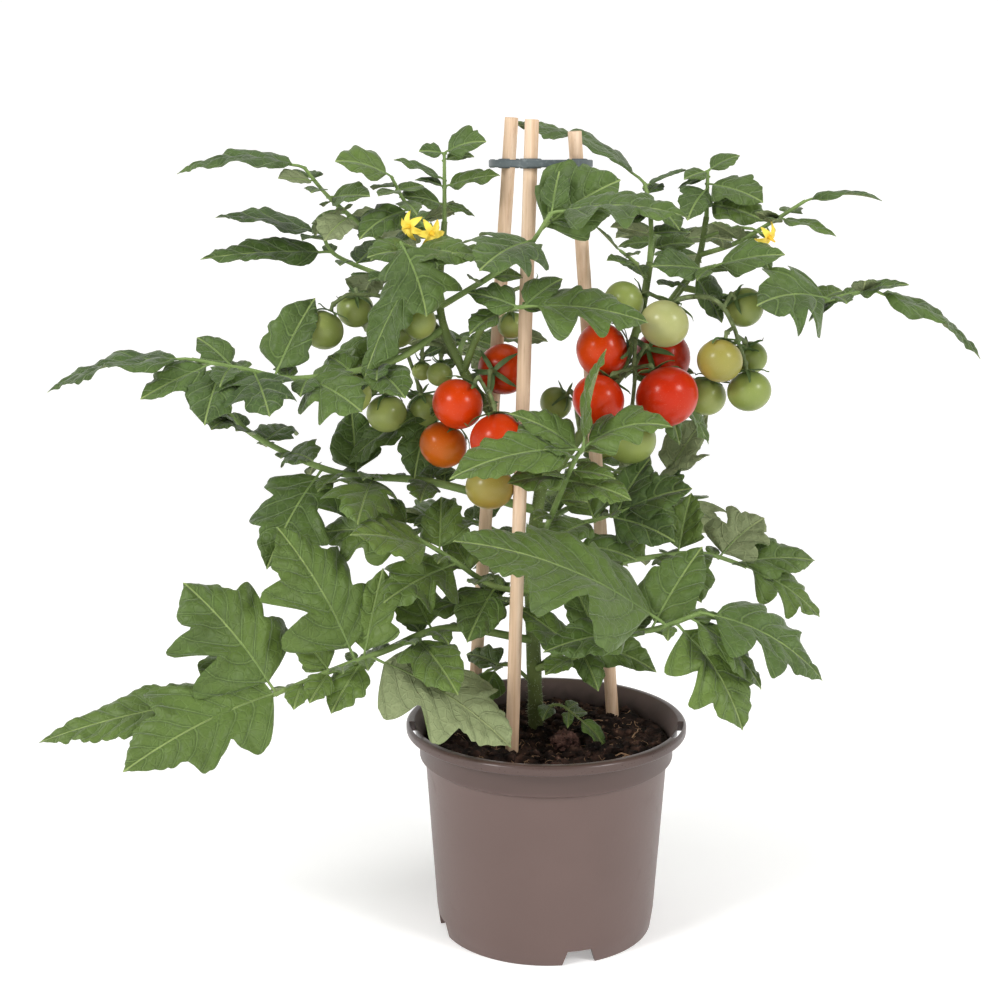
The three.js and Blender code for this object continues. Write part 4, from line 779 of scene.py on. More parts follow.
leafPlan = {
    "leaf_low_left": (
        [(-8, 1, 179), (-59, -22, 193), (-97, -42, 184), (-125, -56, 177), (-158, -72, 167)], (2.6, 1.3),
        [(1, -175, 0, 131, 20, 0.65, 30), (0.92, -148, -6, 104, 22, 1, 40, "cut"),
         (0.97, 170, 60, 82, 20, 1.4, 50, "cut"), (0.75, 150, 45, 30, 10, 1.4, 45, "plain"),
         (0.75, 245, -20, 26, 15, 1.3, 45, "plain"), (0.62, 170, 70, 90, 20, 1.2, 50, "cut"),
         (0.58, 60, 72, 54, 10, 1.1, 40), (0.55, -20, -12, 99, 30, 1.2, 16, "cut"),
         (0.58, 232, -35, 38, 15, 1.3, 40, "plain"), (0.36, -60, -12, 56, 20, 1.2, 45),
         (0.3, 125, 45, 54, 15, 1.2, 45)]),
    "leaf_big_front": (
        [(-5, 2, 161), (19, -22, 177), (41, -42, 194), (62, -58, 203), (84, -72, 216)], (2.4, 1.3),
        [(1, -10, -5, 79, 45, 1.1, 26, "cut"), (0.85, -38, -30, 72, 40, 1.2, 26, "cut"),
         (0.8, 190, 40, 135, 32, 1, 38, "cut"), (0.93, -18, -22, 58, 40, 1.1, 26),
         (0.6, 195, 5, 56, 25, 1.1, 40), (0.7, 45, 50, 62, 15, 1.1, 40), (0.37, 135, 65, 46, 20, 1.2, 40),
         (0.25, 175, 45, 46, 15, 1.2, 45)]),
    "leaf_centre_front": (
        [(-4, -1, 239), (5, -30, 271), (13, -52, 297), (18, -60, 307)], (2, 1.2),
        [(0.95, 195, 8, 78, 35, 0.9, 28), (1, -20, 88, 57, 20, 0.8, 26),
         (0.97, -5, 45, 54, 60, 1, 26, "cut"), (0.9, 170, 42, 46, 30, 0.9, 26),
         (0.55, 205, 5, 38, 15, 1.2, 45), (0.5, -20, 0, 40, 25, 1.2, 45)]),
    "leaf_mid_left": (
        [(-9, 0, 209), (-33, -10, 216), (-56, -20, 234), (-77, -26, 249)], (2.1, 1.2),
        [(1, 160, 10, 64, 25, 1.2, 40, "cut"), (0.85, 214, 25, 56, 20, 1.3, 50),
         (0.78, 90, 50, 42, 20, 1.3, 50), (0.62, 220, -5, 56, 20, 1.3, 50, "cut"),
         (0.5, 120, 40, 36, 15, 1.2, 45), (0.3, -117, -25, 44, 20, 1.3, 50)]),
    "leaf_left_long": (
        [(-8, 3, 259), (-70, 8, 275), (-124, 14, 279), (-170, 14, 299), (-193, 12, 319)], (2.8, 1.3),
        [(1, 180, 40, 38, 10, 1.2, 40), (0.93, -105, 0, 30, 10, 1.2, 50), (0.74, 75, 15, 42, 20, 1.2, 40),
         (0.55, -116, -25, 80, 25, 1.1, 60, "cut"), (0.4, -95, -2, 62, 25, 1.2, 60, "cut"),
         (0.66, -60, 12, 38, 20, 1.3, 50), (0.45, 100, 60, 48, 20, 1.2, 40),
         (0.25, 80, 25, 36, 20, 1.2, 26)]),
    "leaf_left_high": (
        [(-61, -5, 367), (-91, -22, 350), (-141, -32, 342), (-172, -38, 348), (-200, -42, 354)], (2.2, 1.1),
        [(1, 185, 8, 84, 40, 0.9, 20), (0.9, 205, -18, 45, 10, 1.1, 30),
         (0.8, 150, 42, 30, 20, 1.3, 40, "plain"), (0.85, -98, -28, 46, 20, 1.4, 50),
         (0.7, -72, -12, 50, 20, 1.4, 50, "cut"), (0.6, 50, 60, 54, 15, 1.1, 30),
         (0.48, -42, -8, 48, 20, 1.4, 50, "cut"), (0.3, -60, -8, 42, 20, 1.3, 45)]),
    "leaf_top_left_a": (
        [(-62, -4, 386), (-90, -8, 413), (-113, -12, 432), (-126, -14, 444), (-138, -16, 459)], (1.7, 1),
        [(1, 185, 20, 73, 45, 0.9, 20), (0.88, 220, 10, 24, 10, 1.3, 30, "plain"),
         (0.72, -35, 10, 30, 15, 1.3, 35), (0.6, 125, -20, 34, 20, 1.2, 30),
         (0.5, 250, -10, 36, 20, 1.2, 40)]),
    "leaf_top_left_b": (
        [(-63, -3, 380), (-82, 22, 392), (-105, 33, 398), (-127, 36, 408), (-134, 36, 420)], (1.8, 1),
        [(1, 185, 22, 64, 25, 1.1, 24), (0.78, 195, 4, 78, 12, 0.8, 16),
         (0.6, 60, 30, 34, 10, 1.2, 14, "plain"), (0.45, 110, -10, 44, 30, 1.2, 14)]),
    "leaf_tip_left": (
        [(-61, 2, 412), (-76, -8, 431), (-83, -14, 442), (-89, -18, 454)], (1.4, 0.9),
        [(1, 200, 35, 34, 40, 1.4, 36), (0.8, 240, -5, 20, 5, 1.4, 36, "plain"),
         (0.8, 45, 10, 20, 5, 1.4, 36, "plain"), (0.45, 215, -5, 38, 40, 1.2, 36)]),
    "leaf_tip_middle": (
        [(-60, 5, 427), (-60, 8, 448), (-60, 9, 467)], (1.4, 0.9),
        [(1, -10, 35, 26, 40, 1.5, 40), (1, 190, 15, 15, 20, 1.4, 40, "plain"),
         (0.6, 195, 32, 32, 20, 1.1, 24), (0.5, -15, 22, 34, 20, 1.1, 24), (0.25, 210, 25, 30, 30, 1.2, 30)]),
    "leaf_front_hang": (
        [(-62, -2, 397), (-71, -26, 411), (-82, -46, 418)], (1.5, 1),
        [(1, -50, -45, 45, 30, 1.6, 26, "cut"), (0.75, -26, 5, 40, 25, 1.3, 36),
         (0.6, 220, 10, 36, 25, 1.3, 36), (0.45, -165, -52, 78, 20, 0.9, 40)]),
    "leaf_centre_high": (
        [(-61, -6, 381), (-34, -36, 399), (-15, -46, 413), (0, -54, 435)], (1.9, 1.1),
        [(1, -25, 15, 80, 32, 0.9, 34, "cut"), (0.85, 20, 40, 56, 20, 1.5, 60),
         (0.78, -120, 0, 60, 25, 1.2, 50, "cut"), (1, 70, 70, 26, 20, 1.3, 50, "plain"),
         (0.55, 200, 20, 36, 20, 1.3, 40), (0.4, 125, 45, 26, 10, 1.3, 40, "plain")]),
    "leaf_top_arch": (
        [(60, 20, 404), (61, 24, 420), (60, 28, 437), (57, 31, 450)], (1.7, 1.1),
        [(1, 172, 45, 90, 44, 1, 8), (0.75, -55, -18, 34, 25, 1.2, 8),
         (0.95, 15, 28, 28, 15, 1.3, 8, "plain"), (0.55, 215, 12, 38, 22, 1.2, 8)]),
    "leaf_small_middle": (
        [(58, 16, 394), (51, 4, 404), (41, -4, 412)], (1.3, 0.9),
        [(1, 205, 45, 22, 5, 1.1, 14, "plain"), (0.6, 215, 10, 20, 10, 1.2, 14, "plain"),
         (0.5, -80, -15, 16, 10, 1.2, 14, "plain")]),
    "leaf_tip_right": (
        [(94, 30, 429), (94, 29, 444), (94, 29, 457)], (1.4, 0.9),
        [(1, 10, 40, 22, 30, 1.4, 36, "plain"), (1, 210, -5, 18, 20, 1.4, 36, "plain"),
         (0.7, -40, -2, 40, 25, 1.3, 40), (0.6, 235, -20, 30, 35, 1.3, 40), (0.3, -35, -4, 40, 20, 1.2, 36)]),
    "leaf_right_high": (
        [(91, 28, 408), (109, 16, 415), (128, 8, 427), (147, 2, 440)], (1.6, 1),
        [(1, -5, 22, 45, 42, 0.9, 10), (0.75, -25, -5, 36, 20, 1.1, 10),
         (0.7, 235, 25, 22, 15, 1.2, 10, "plain"), (0.45, -50, -30, 30, 30, 1.1, 10),
         (0.4, 225, 30, 30, 15, 1.2, 10)]),
    "leaf_right_long": (
        [(80, 24, 389), (114, 24, 382), (145, -4, 381), (168, -15, 387), (182, -19, 391)], (2.1, 1.1),
        [(1, -5, -12, 76, 38, 0.8, 14), (0.84, -30, 22, 32, 20, 1.2, 30),
         (0.66, -150, 20, 54, 42, 1.5, 70, "cut"), (0.72, 135, -30, 26, 10, 1.3, 30, "plain"),
         (0.35, 120, 5, 44, 20, 1.3, 30)]),
    "leaf_right_dark": (
        [(73, 22, 382), (82, 3, 397), (95, -10, 404)], (1.6, 1),
        [(1, -12, 20, 40, 20, 1.3, 36), (0.8, 200, 12, 34, 15, 1.3, 36),
         (0.6, 27, -50, 36, 10, 1.3, 60, "plain")]),
    "leaf_centre_middle": (
        [(-36, -20, 374), (-24, -36, 381), (-13, -48, 384)], (1.7, 1.1),
        [(1, -5, 6, 68, 26, 1.1, 36, "cut"), (0.8, 160, 24, 32, 20, 1.2, 36),
         (0.9, 30, 40, 30, 20, 1.2, 36)]),
    "leaf_low_right": (
        [(-8, 4, 213), (18, 12, 219), (58, 20, 225), (95, 30, 226), (124, 34, 217)], (2.3, 1.2),
        [(1, -10, -18, 56, 30, 1.2, 36, "cut"), (0.85, 40, 38, 46, 25, 1.4, 40, "cut"),
         (0.95, 12, 12, 52, 25, 1.2, 36), (0.65, 60, 70, 40, 15, 1.2, 36), (0.6, -70, -10, 52, 20, 1.3, 50),
         (0.38, -105, -16, 46, 20, 1.2, 50), (0.42, 75, 25, 44, 20, 1.2, 26)]),
    "leaf_right_middle": (
        [(-5, 0, 250), (23, -4, 253), (44, -10, 261)], (1.8, 1.1),
        [(1, -15, 32, 44, 22, 1.3, 40), (0.92, 25, 65, 38, 20, 1.3, 40), (0.78, -32, 0, 46, 25, 1.3, 45),
         (0.55, 235, 2, 40, 15, 1.2, 45), (0.6, 110, 45, 42, 15, 1.2, 40)]),
    "leaf_right_pale": (
        [(-3, 6, 268), (20, 46, 262), (50, 56, 264), (76, 58, 268)], (1.9, 1.1),
        [(1, 30, 58, 50, 15, 1, 26), (0.9, -20, 38, 40, 20, 1.1, 26),
         (0.75, 85, 50, 36, 20, 1.2, 26, "plain"), (0.5, 80, 10, 44, 30, 1.2, 26)]),
    "leaf_back_low": (
        [(-7, 8, 170), (-4, 50, 196), (6, 90, 204), (14, 120, 196)], (2.4, 1.2),
        [(1, 80, -5, 78, 40, 1.1, -30, "cut"), (0.85, 30, 10, 58, 35, 1.1, -30),
         (0.82, 140, 10, 56, 35, 1.1, -30), (0.6, 10, 20, 48, 30, 1.1, -30),
         (0.56, 170, 15, 50, 30, 1.1, -30)]),
    "leaf_back_left": (
        [(-9, 4, 200), (-24, 60, 228), (-62, 94, 236), (-88, 116, 228)], (2.3, 1.2),
        [(1, 130, -5, 74, 40, 1.1, -30, "cut"), (0.85, 75, 15, 54, 35, 1.1, -30),
         (0.8, 190, 10, 56, 35, 1.1, -30), (0.58, 215, 5, 46, 30, 1.1, -30),
         (0.5, 60, 35, 34, 20, 1.2, -30, "plain")]),
    "leaf_back_right": (
        [(-6, 5, 238), (12, 62, 246), (48, 92, 250), (74, 108, 240)], (2.2, 1.2),
        [(1, 45, -5, 70, 40, 1.1, -30, "cut"), (0.85, 100, 15, 52, 35, 1.1, -30),
         (0.8, -15, 5, 54, 35, 1.1, -30), (0.5, 120, 40, 34, 20, 1.2, -30, "plain")]),
    "leaf_back_middle": (
        [(-38, -4, 326), (-52, 34, 343), (-50, 70, 354), (-44, 94, 348)], (2, 1.1),
        [(1, 80, -5, 66, 40, 1.1, -30, "cut"), (0.85, 20, 15, 54, 35, 1.1, -30),
         (0.8, 150, 10, 52, 35, 1.1, -30), (0.55, 185, 25, 40, 25, 1.1, -30)]),
    "leaf_back_high_left": (
        [(-62, 2, 404), (-70, 40, 424), (-82, 72, 428), (-88, 94, 420)], (1.7, 1),
        [(1, 100, 0, 56, 40, 1.1, -30), (0.8, 50, 20, 44, 30, 1.1, -30), (0.76, 165, 10, 46, 30, 1.1, -30),
         (0.5, 30, 20, 32, 20, 1.2, -30, "plain")]),
    "leaf_back_high_right": (
        [(59, 20, 396), (66, 56, 414), (74, 86, 416), (82, 108, 406)], (1.7, 1),
        [(1, 70, 0, 56, 40, 1.1, -30), (0.8, 15, 15, 46, 30, 1.1, -30), (0.76, 130, 15, 46, 30, 1.1, -30),
         (0.5, 150, 20, 34, 20, 1.2, -30, "plain")]),
}


def cutBays(stations, depth):  # one edge of a leaflet, with its bays deeper or shallower, and flagged
    edge = [(*stations[0], False), (*stations[1], False)]
    for (u0, w0, _), (u1, w1, lift), (u2, w2, _) in zip(stations[1:], stations[2:], stations[3:]):
        between = w0 + (w2 - w0) * (u1 - u0) / (u2 - u0)
        bay = w1 < between - 0.5 and w1 < w2 * 1.2
        fade = 1 if u1 < 0.5 else 0.75
        edge.append((u1, between - (between - w1) * depth * fade if bay else w1, lift, bay))
    return edge + [(*stations[-1], False)]


def scallop(turns):  # a row of round humps, one for each turn
    return abs(math.sin(math.pi * turns))


class Leaflet:
    def __init__(self, at, number, place, heading, rise, length, fall, spreading, lean, outline="toothed"):
        sway = math.sin(2.4 * number)
        bearing = math.radians(heading)
        self.base = at(place)
        self.length = length
        self.rise = math.radians(rise)
        self.fall = math.radians(max(fall, 1))
        self.roll = math.radians(lean * math.cos(bearing) + bladeShape["roll"] * sway)
        self.skew = bladeShape["skew"] * sway
        self.forward = Vector((math.cos(bearing), math.sin(bearing), 0))
        self.across = Vector((-math.sin(bearing), math.cos(bearing), 0))
        start, half = bladeShape["stalkEnd"], length * spreading
        rows = [(u, w * half, math.radians(lift)) for u, w, lift in bladeShape["outlines"][outline]]
        rows = [(start - 0.02, 0.2, 0), (start, bladeShape["stalkHalf"], 0), *rows, (1, 0, rows[-1][2])]
        order = 1 if sway > 0 else -1  # which side comes first in the pairs below
        self.edges = {sign: cutBays(rows, depth) for sign, depth in zip((1, -1), bladeShape["cuts"][::order])}
        lobes = (0, 0) if outline == "cut" else bladeShape["lobes"][::order]
        self.lobes = dict(zip((1, -1), lobes))
        self.veins = max(4, round(length / bladeShape["veinEvery"]))
        self.teeth = length / bladeShape["teethEvery"]
        self.drift = 11 * number
        grown = min(1, length / bladeShape["grown"])
        self.quilt, self.wave = bladeShape["quilt"] * grown, bladeShape["wave"] * grown

    def stray(self, along, across, layer=0):
        return noise.noise(Vector((along, across, self.drift + layer)))

    def ribAt(self, share):  # the midrib's point there, in metres, and the ways across and above it
        angle = self.rise - self.fall * share
        reach = (math.sin(self.rise) - math.sin(angle)) / self.fall
        climb = (math.cos(angle) - math.cos(self.rise)) / self.fall
        point = self.base + (self.forward * reach + upward * climb) * self.length * mm
        above = upward * math.cos(angle) - self.forward * math.sin(angle)
        side = self.across * math.cos(self.roll) + above * math.sin(self.roll)
        up = above * math.cos(self.roll) - self.across * math.sin(self.roll)
        return point, side, up

    def edgeAt(self, share, sign):  # half width in mm and lift of the edge
        edge = self.edges[sign]
        i = max(n for n in range(len(edge) - 1) if edge[n][0] <= share)
        (u0, w0, lift0, bay0), (u1, w1, lift1, bay1) = edge[i], edge[i + 1]
        t = (share - u0) / (u1 - u0)
        smooth = t * t * (3 - 2 * t)
        if i == 1:  # the rounded start of the blade
            swell = math.sin(t * math.pi / 2) ** 0.7
        elif bay1:  # a lobe is round, and the bay after it is narrow
            swell = t ** 2.2
        elif bay0:
            swell = 1 - (1 - t) ** 2
        elif u1 == 1:
            swell = t ** 1.15
        else:
            swell = 0.5 * t + 0.5 * smooth
        return w0 + (w1 - w0) * swell, lift0 + (lift1 - lift0) * smooth

    def halfWidth(self, share, sign):  # with teeth, low lobes and belly
        width, lift = self.edgeAt(share, sign)
        first, last = bladeShape["margin"]
        if first < share < last:
            stray = 0.8 * self.stray(5 * share, sign)
            tooth = scallop(share * self.teeth + 0.37 * sign + stray) - 0.6
            lobe = scallop(share * bladeShape["lobeCount"] + 0.21 * sign + stray) - 0.6
            width += bladeShape["tooth"] * self.length * tooth * min(1, 4 - 4 * share)
            width *= 1 + self.lobes[sign] * lobe * min(1, (share - first) * 12) * min(1, 1.5 - 1.5 * share)
        belly, start = bladeShape["belly"]
        if share > start:
            width *= 1 + belly * math.sin(math.pi * (share - start) / (1 - start))
        return width * (1 + sign * self.skew), lift

    def pointAt(self, share, v):  # v runs from -1 to 1 across the blade
        sign = 1 if v > 0 else -1
        part = abs(v)
        width, lift = self.halfWidth(share, sign)
        reach = width * part
        forward = max(0, min(1, (share - 0.15) / 0.3))
        sweep = bladeShape["sweep"] * (0.4 + 0.6 * forward * forward * (3 - 2 * forward))
        point, side, up = self.ribAt(max(share, min(share + sweep * reach / self.length, 0.97)))
        slant = (0.3 + 0.3 * part) * reach / self.length
        stagger = 0.25 * max(-1, min(1, 5 * v))  # the veins of the two sides start in turn
        phase = (share - slant) * self.veins + stagger + 0.22 * self.stray(4 * share, 1.3 * v)
        bulge = scallop(phase) * self.quilt * min(1, reach / 4) * (1 - part ** 6)
        depth, half = bladeShape["groove"]
        groove = depth * math.exp(-(reach / half) ** 2)
        along = share * self.length
        ripple = self.wave * (2 * self.stray(0.07 * along, 1.6 * v) + self.stray(0.22 * along, 2 * v, 5))
        ripple += bladeShape["sway"] * self.length * self.stray(2.6 * share, 0.9 * v, 9)
        droop = bladeShape["droop"] * reach * part ** 3
        height = reach * math.sin(lift * part) + bulge - groove - droop + ripple * part * min(1, reach / 6)
        return point + (side * sign * reach * math.cos(lift * part) + up * height) * mm, phase, reach


def addBlade(bm, leaflet, tone, turned=False):
    blade = leafMesh()
    vein, across, shade = (blade.verts.layers.float[name] for name in leafLayers)
    rows = max(8, round(leaflet.length / bladeShape["row"]))
    first = bladeShape["stalkEnd"] - 0.02
    bmesh.ops.create_grid(blade, x_segments=bladeShape["columns"], y_segments=rows, size=1)
    for vert in blade.verts:
        share = first + (1 - first) * (vert.co.y + 1) / 2
        v = -math.copysign(abs(vert.co.x) ** 0.9, vert.co.x)
        vert.co, vert[vein], vert[across] = leaflet.pointAt(share, v)
        vert[shade] = tone
    middle = [v for v in blade.verts if v[across] < 0.02]  # its two ends
    bmesh.ops.remove_doubles(blade, verts=middle, dist=0.02 * mm)
    upper = set(blade.verts)
    bmesh.ops.solidify(blade, geom=blade.faces[:], thickness=bladeShape["thickness"] * mm)
    for face in blade.faces:
        isUnder = upper.issuperset(face.verts) if turned else upper.isdisjoint(face.verts)
        face.material_index = underPart if isUnder else 0
    append(bm, blade)


def addRib(bm, leaflet):  # the short stalk of a leaflet, which goes on under the blade as its midrib
    thick, thin = bladeShape["rib"]
    size = min(1, 0.55 + leaflet.length / 160)
    first = -bladeShape["stalkIn"] / leaflet.length
    path = []
    for step in range(15):
        share = first + (bladeShape["ribEnd"] - first) * step / 14
        point, side, up = leaflet.ribAt(share)
        sink = bladeShape["sink"][share > bladeShape["stalkEnd"]]
        path.append(point - up * sink * size * mm)
    addTube(bm, path, lambda share: (thick + (thin - thick) * share ** 0.7) * size * mm, 6, stalkPart)


def smallLeaflets(at, path, number, chance):  # along a stalk, on its two sides in turn
    plan = bladeShape["between"]
    count = round(lengthOf(path) / mm / plan["every"])
    for step in range(count):
        place = 0.16 + 0.8 * (step + chance.uniform(0.2, 0.8)) / count
        ahead = at(min(1, place + 0.03)) - at(place - 0.03)
        along = math.degrees(math.atan2(ahead.y, ahead.x))
        heading = along + (70 if step % 2 else -70) + chance.uniform(-18, 18)
        length = chance.uniform(*plan["length"])
        outline = chance.choice(("toothed", "plain"))
        rise, fall = chance.uniform(-10, 35), chance.uniform(15, 40)
        spreading = plan["spread"] * chance.uniform(0.85, 1.15)
        numbered = 200 + 10 * number + step
        yield Leaflet(at, numbered, place, heading, rise, length, fall, spreading, plan["lean"], outline)


leafLayers = ("vein", "across", "tone")  # what the leaf finishes read from the mesh


def leafMesh():
    bm = bmesh.new()
    for layer in leafLayers:
        bm.verts.layers.float.new(layer)
    return bm


def addLeaf(bm, plan, number, brightness, chance):  # number is the last leaflet's before it
    line, girth, leaflets = plan
    stalk, hairs = bladeShape["stalk"], bladeShape["hairs"]
    at = lineThrough(line)
    path = spread(at, stalk["every"])
    girthAt = swelling(path, *girth, stalk["lumps"], len(leafPlan))
    addTube(bm, path, girthAt, stalk["sides"], stalkPart)
    addHairs(bm, path, girthAt, hairs["count"], hairs, chance)
    for row in leaflets:
        number += 1
        leaflet = Leaflet(at, number, *row)
        addBlade(bm, leaflet, brightness + chance.uniform(-0.1, 0.35), number in bladeShape["turnedOver"])
        addRib(bm, leaflet)
    for leaflet in smallLeaflets(at, path, number, chance):
        addBlade(bm, leaflet, brightness + chance.uniform(-0.1, 0.35))
        addRib(bm, leaflet)
    return number


def makeLeaves():
    low, high = bladeShape["brightness"]
    number = 0
    faceCount = 0
    for name, plan in leafPlan.items():
        bm = leafMesh()
        foot = plan[0][0]
        brightness = low if foot[2] < bladeShape["lowLeaf"] else high
        number = addLeaf(bm, plan, number, brightness, random.Random(name))
        piece = makePiece(bm, name.replace("leaf", "foliage"), leafFinishes, name, 55)
        faceCount += len(piece.data.polygons)
    print("leaves:", number, "leaflets,", faceCount, "faces")


trussPlan = {  # each truss: the line of its stalk, and its fruit as (place, centre, radius, ripeness)
    "truss_left": (
        [(-30, -4, 314), (-34, -14, 326), (-35, -24, 332), (-34, -32, 334)],
        [(0.7, (-52, -30, 327), 15, "red"), (0.45, (-26, 2, 343), 15, "red"),
         (1, (-29, -46, 309), 16, "red"), (0.3, (-61, -15, 301), 14, "orange"),
         (0.2, (-34, -20, 277), 14, "turning")]),
    "truss_left_high": (
        [(-53, -7, 351), (-70, 5, 373), (-95, 2, 385), (-116, -4, 387)],
        [(1, (-130, -8, 367), 12, "green"), (0.9, (-113, 13, 377), 11, "green"),
         (0.7, (-88, -2, 366), 11, "green"), (0.45, (-74, -22, 373), 10, "green")]),
    "truss_left_low": (
        [(-46, -7, 338), (-63, 4, 357), (-84, 4, 354), (-103, 2, 347)],
        [(1, (-115, -6, 330), 12.5, "green"), (0.85, (-95, 8, 316), 12, "green"),
         (0.65, (-73, 20, 316), 11, "green"), (0.3, (-63, -6, 341), 7.5, "green"),
         (0.5, (-74, 10, 341), 6, "green")]),
    "truss_middle": (
        [(-37, -17, 373), (-26, -2, 386), (-16, 12, 390)],
        [(1, (-4, 24, 386), 7, "green"), (0.6, (-21, 8, 368), 8.5, "green")]),
    "truss_right": (
        [(38, 6, 331), (46, -4, 343), (50, -6, 344), (50, -8, 336)],
        [(0.6, (31, -7, 355), 16, "red"), (0.6, (68, 20, 347), 17.5, "red"),
         (0.6, (67, -28, 331), 18, "red"), (0.55, (28, -26, 329), 15, "red"),
         (1, (48, -9, 303), 15, "green")]),
    "truss_right_low": (
        [(20, 6, 303), (18, 24, 318), (22, 36, 318)],
        [(1, (34, 44, 292), 12, "green"), (0.6, (6, 38, 318), 10, "green")]),
    "truss_right_high": (
        [(65, 18, 375), (76, 0, 384), (90, -9, 386), (99, -12, 381), (106, -13, 369), (109, -12, 360)],
        [(0.12, (43, -8, 383), 12, "green"), (0.3, (65, -24, 372), 14, "pale"),
         (0.62, (114, 3, 379), 11.5, "green"), (0.8, (97, -24, 351), 13, "turning"),
         (0.9, (119, 8, 349), 10, "green"), (1, (116, -12, 332), 12.5, "green"),
         (0.95, (93, 4, 327), 12, "green")]),
}
fruitShape = {
    "columns": 44,
    "rows": 28,
    "flatness": 0.93,
    "lobes": 0.014,
    "dimple": (0.07, 0.24),  # depth and width of the hollow at the stalk
    "foot": (0.02, 0.1),
    "stalk": {"every": 3, "girth": (1.7, 1.1), "lumps": 0.2, "sides": 12},
    "hairs": {"count": 160, "length": 1.4, "radius": 0.06},
    "pedicel": {"girth": 1.15, "knuckle": 0.75, "cup": 0.5, "straight": 5, "sides": 10},
    "sepal": {"least": 6, "width": 0.09, "thickness": 0.35, "rows": 9, "curl": 8, "foot": 0.6},
    "button": {"radii": (2.1, 1.2), "depth": 1.1, "proud": 0.7},
}
greenFruitPart, sepalPart = 1, 2

vineFinish = Finish("vineGreen", {"Specular IOR Level": 0.35})
mottle = vineFinish.noise(220, 4)
vineFinish.feed("Base Color", vineFinish.ramp(mottle, [
    (0.32, linear(80, 92, 54)), (0.55, linear(106, 120, 74)), (0.75, linear(136, 148, 100)),
]))
vineFinish.feed("Roughness", 0.5 + mottle * 0.2)
vineFinish.relief(mottle + vineFinish.noise(900, 2) * 0.5, 0.0004, 0.6)

sepalFinish = Finish("sepalGreen", {"Roughness": 0.6})
sepalFinish.mottled(240, linear(54, 76, 34), linear(96, 120, 62))
sepalFinish.relief(sepalFinish.noise(900, 2), 0.0002, 0.5)


def fruitFinish(name, skin, shoulder, blush, coat=0.45, tint=(1, 1, 1, 1)):
    finish = Finish(name, {"IOR": 1.4, "Specular IOR Level": 0.26, "Specular Tint": tint, "Coat Weight": coat,
                           "Coat Roughness": 0.23, "Coat IOR": 1.4})
    patches = finish.noise(34, 4)
    dots = finish.fade(finish.noise(1500, 2), 0.64, 0.76)
    crown = finish.fade(finish.attribute("crown") + patches * 0.5, 0.95, 1.4)
    colour = finish.blend(finish.fade(finish.noise(13, 2), 0.36, 0.62), skin, blush)
    colour = finish.blend(finish.fade(patches, 0.4, 0.7) * 0.4, colour, shoulder)
    colour = finish.blend(crown, colour, shoulder)
    finish.feed("Base Color", finish.blend(dots * 0.12, colour, linear(240, 220, 170)))
    finish.feed("Roughness", 0.36 + patches * 0.14)
    finish.relief(finish.noise(260, 3) + dots * 0.2, 0.00008, 0.35)
    return finish


ripeness = {
    "red": fruitFinish("ripeSkin", linear(176, 34, 2), linear(146, 28, 5), linear(204, 66, 2),
                       0.5, (1, 0.4, 0.2, 1)),
    "orange": fruitFinish("orangeSkin", linear(172, 88, 14), linear(146, 100, 28), linear(186, 72, 10),
                          0.4, (1, 0.6, 0.3, 1)),
    "turning": fruitFinish("turningSkin", linear(146, 140, 68), linear(120, 126, 60), linear(158, 128, 54)),
    "pale": fruitFinish("paleSkin", linear(156, 158, 98), linear(122, 136, 70), linear(170, 168, 114)),
    "green": fruitFinish("greenSkin", linear(122, 136, 66), linear(88, 108, 46), linear(146, 156, 86)),
}


def fruitMesh():
    bm = bmesh.new()
    bm.verts.layers.float.new("crown")
    return bm


def addFruit(bm, centre, radius, axis, chance, part=0):
    columns, rows, flatness = (fruitShape[key] for key in ("columns", "rows", "flatness"))
    (dimple, dimpleWidth), (foot, footWidth) = fruitShape["dimple"], fruitShape["foot"]
    crownLayer = bm.verts.layers.float["crown"]
    verts = bmesh.ops.create_uvsphere(bm, u_segments=columns, v_segments=rows, radius=1)["verts"]
    lobes = chance.choice((3, 4, 5))
    turned = chance.uniform(0, 6)
    squash = chance.uniform(-0.02, 0.02)
    for vert in verts:
        x, y, z = vert.co
        reach = math.hypot(x, y)
        ridge = math.cos(lobes * math.atan2(y, x) + turned) * reach ** 2 * (0.5 + 0.5 * z)
        bump = 1 + fruitShape["lobes"] * ridge
        if z > 0:
            sink = dimple * math.exp(-(reach / dimpleWidth) ** 2)
        else:
            sink = -foot * math.exp(-(reach / footWidth) ** 2)
        vert[crownLayer] = z
        vert.co = (x * bump * (1 + squash), y * bump * (1 - squash), (z - sink) * flatness)
    bmesh.ops.transform(bm, matrix=facing(centre, axis) @ Matrix.Scale(radius * mm, 4), verts=verts)
    paint(facesOf(verts), part)


def addStrip(bm, rows, thickness, part, pointAt):  # pointAt takes a place along, 0 to 1, and across, -1 to 1
    verts = bmesh.ops.create_grid(bm, x_segments=4, y_segments=rows, size=1)["verts"]
    for vert in verts:
        vert.co = pointAt((vert.co.y + 1) / 2, vert.co.x)
    faces = facesOf(verts)
    known = set(bm.faces) - set(faces)
    bmesh.ops.solidify(bm, geom=faces, thickness=thickness * mm)
    paint(set(bm.faces) - known, part)


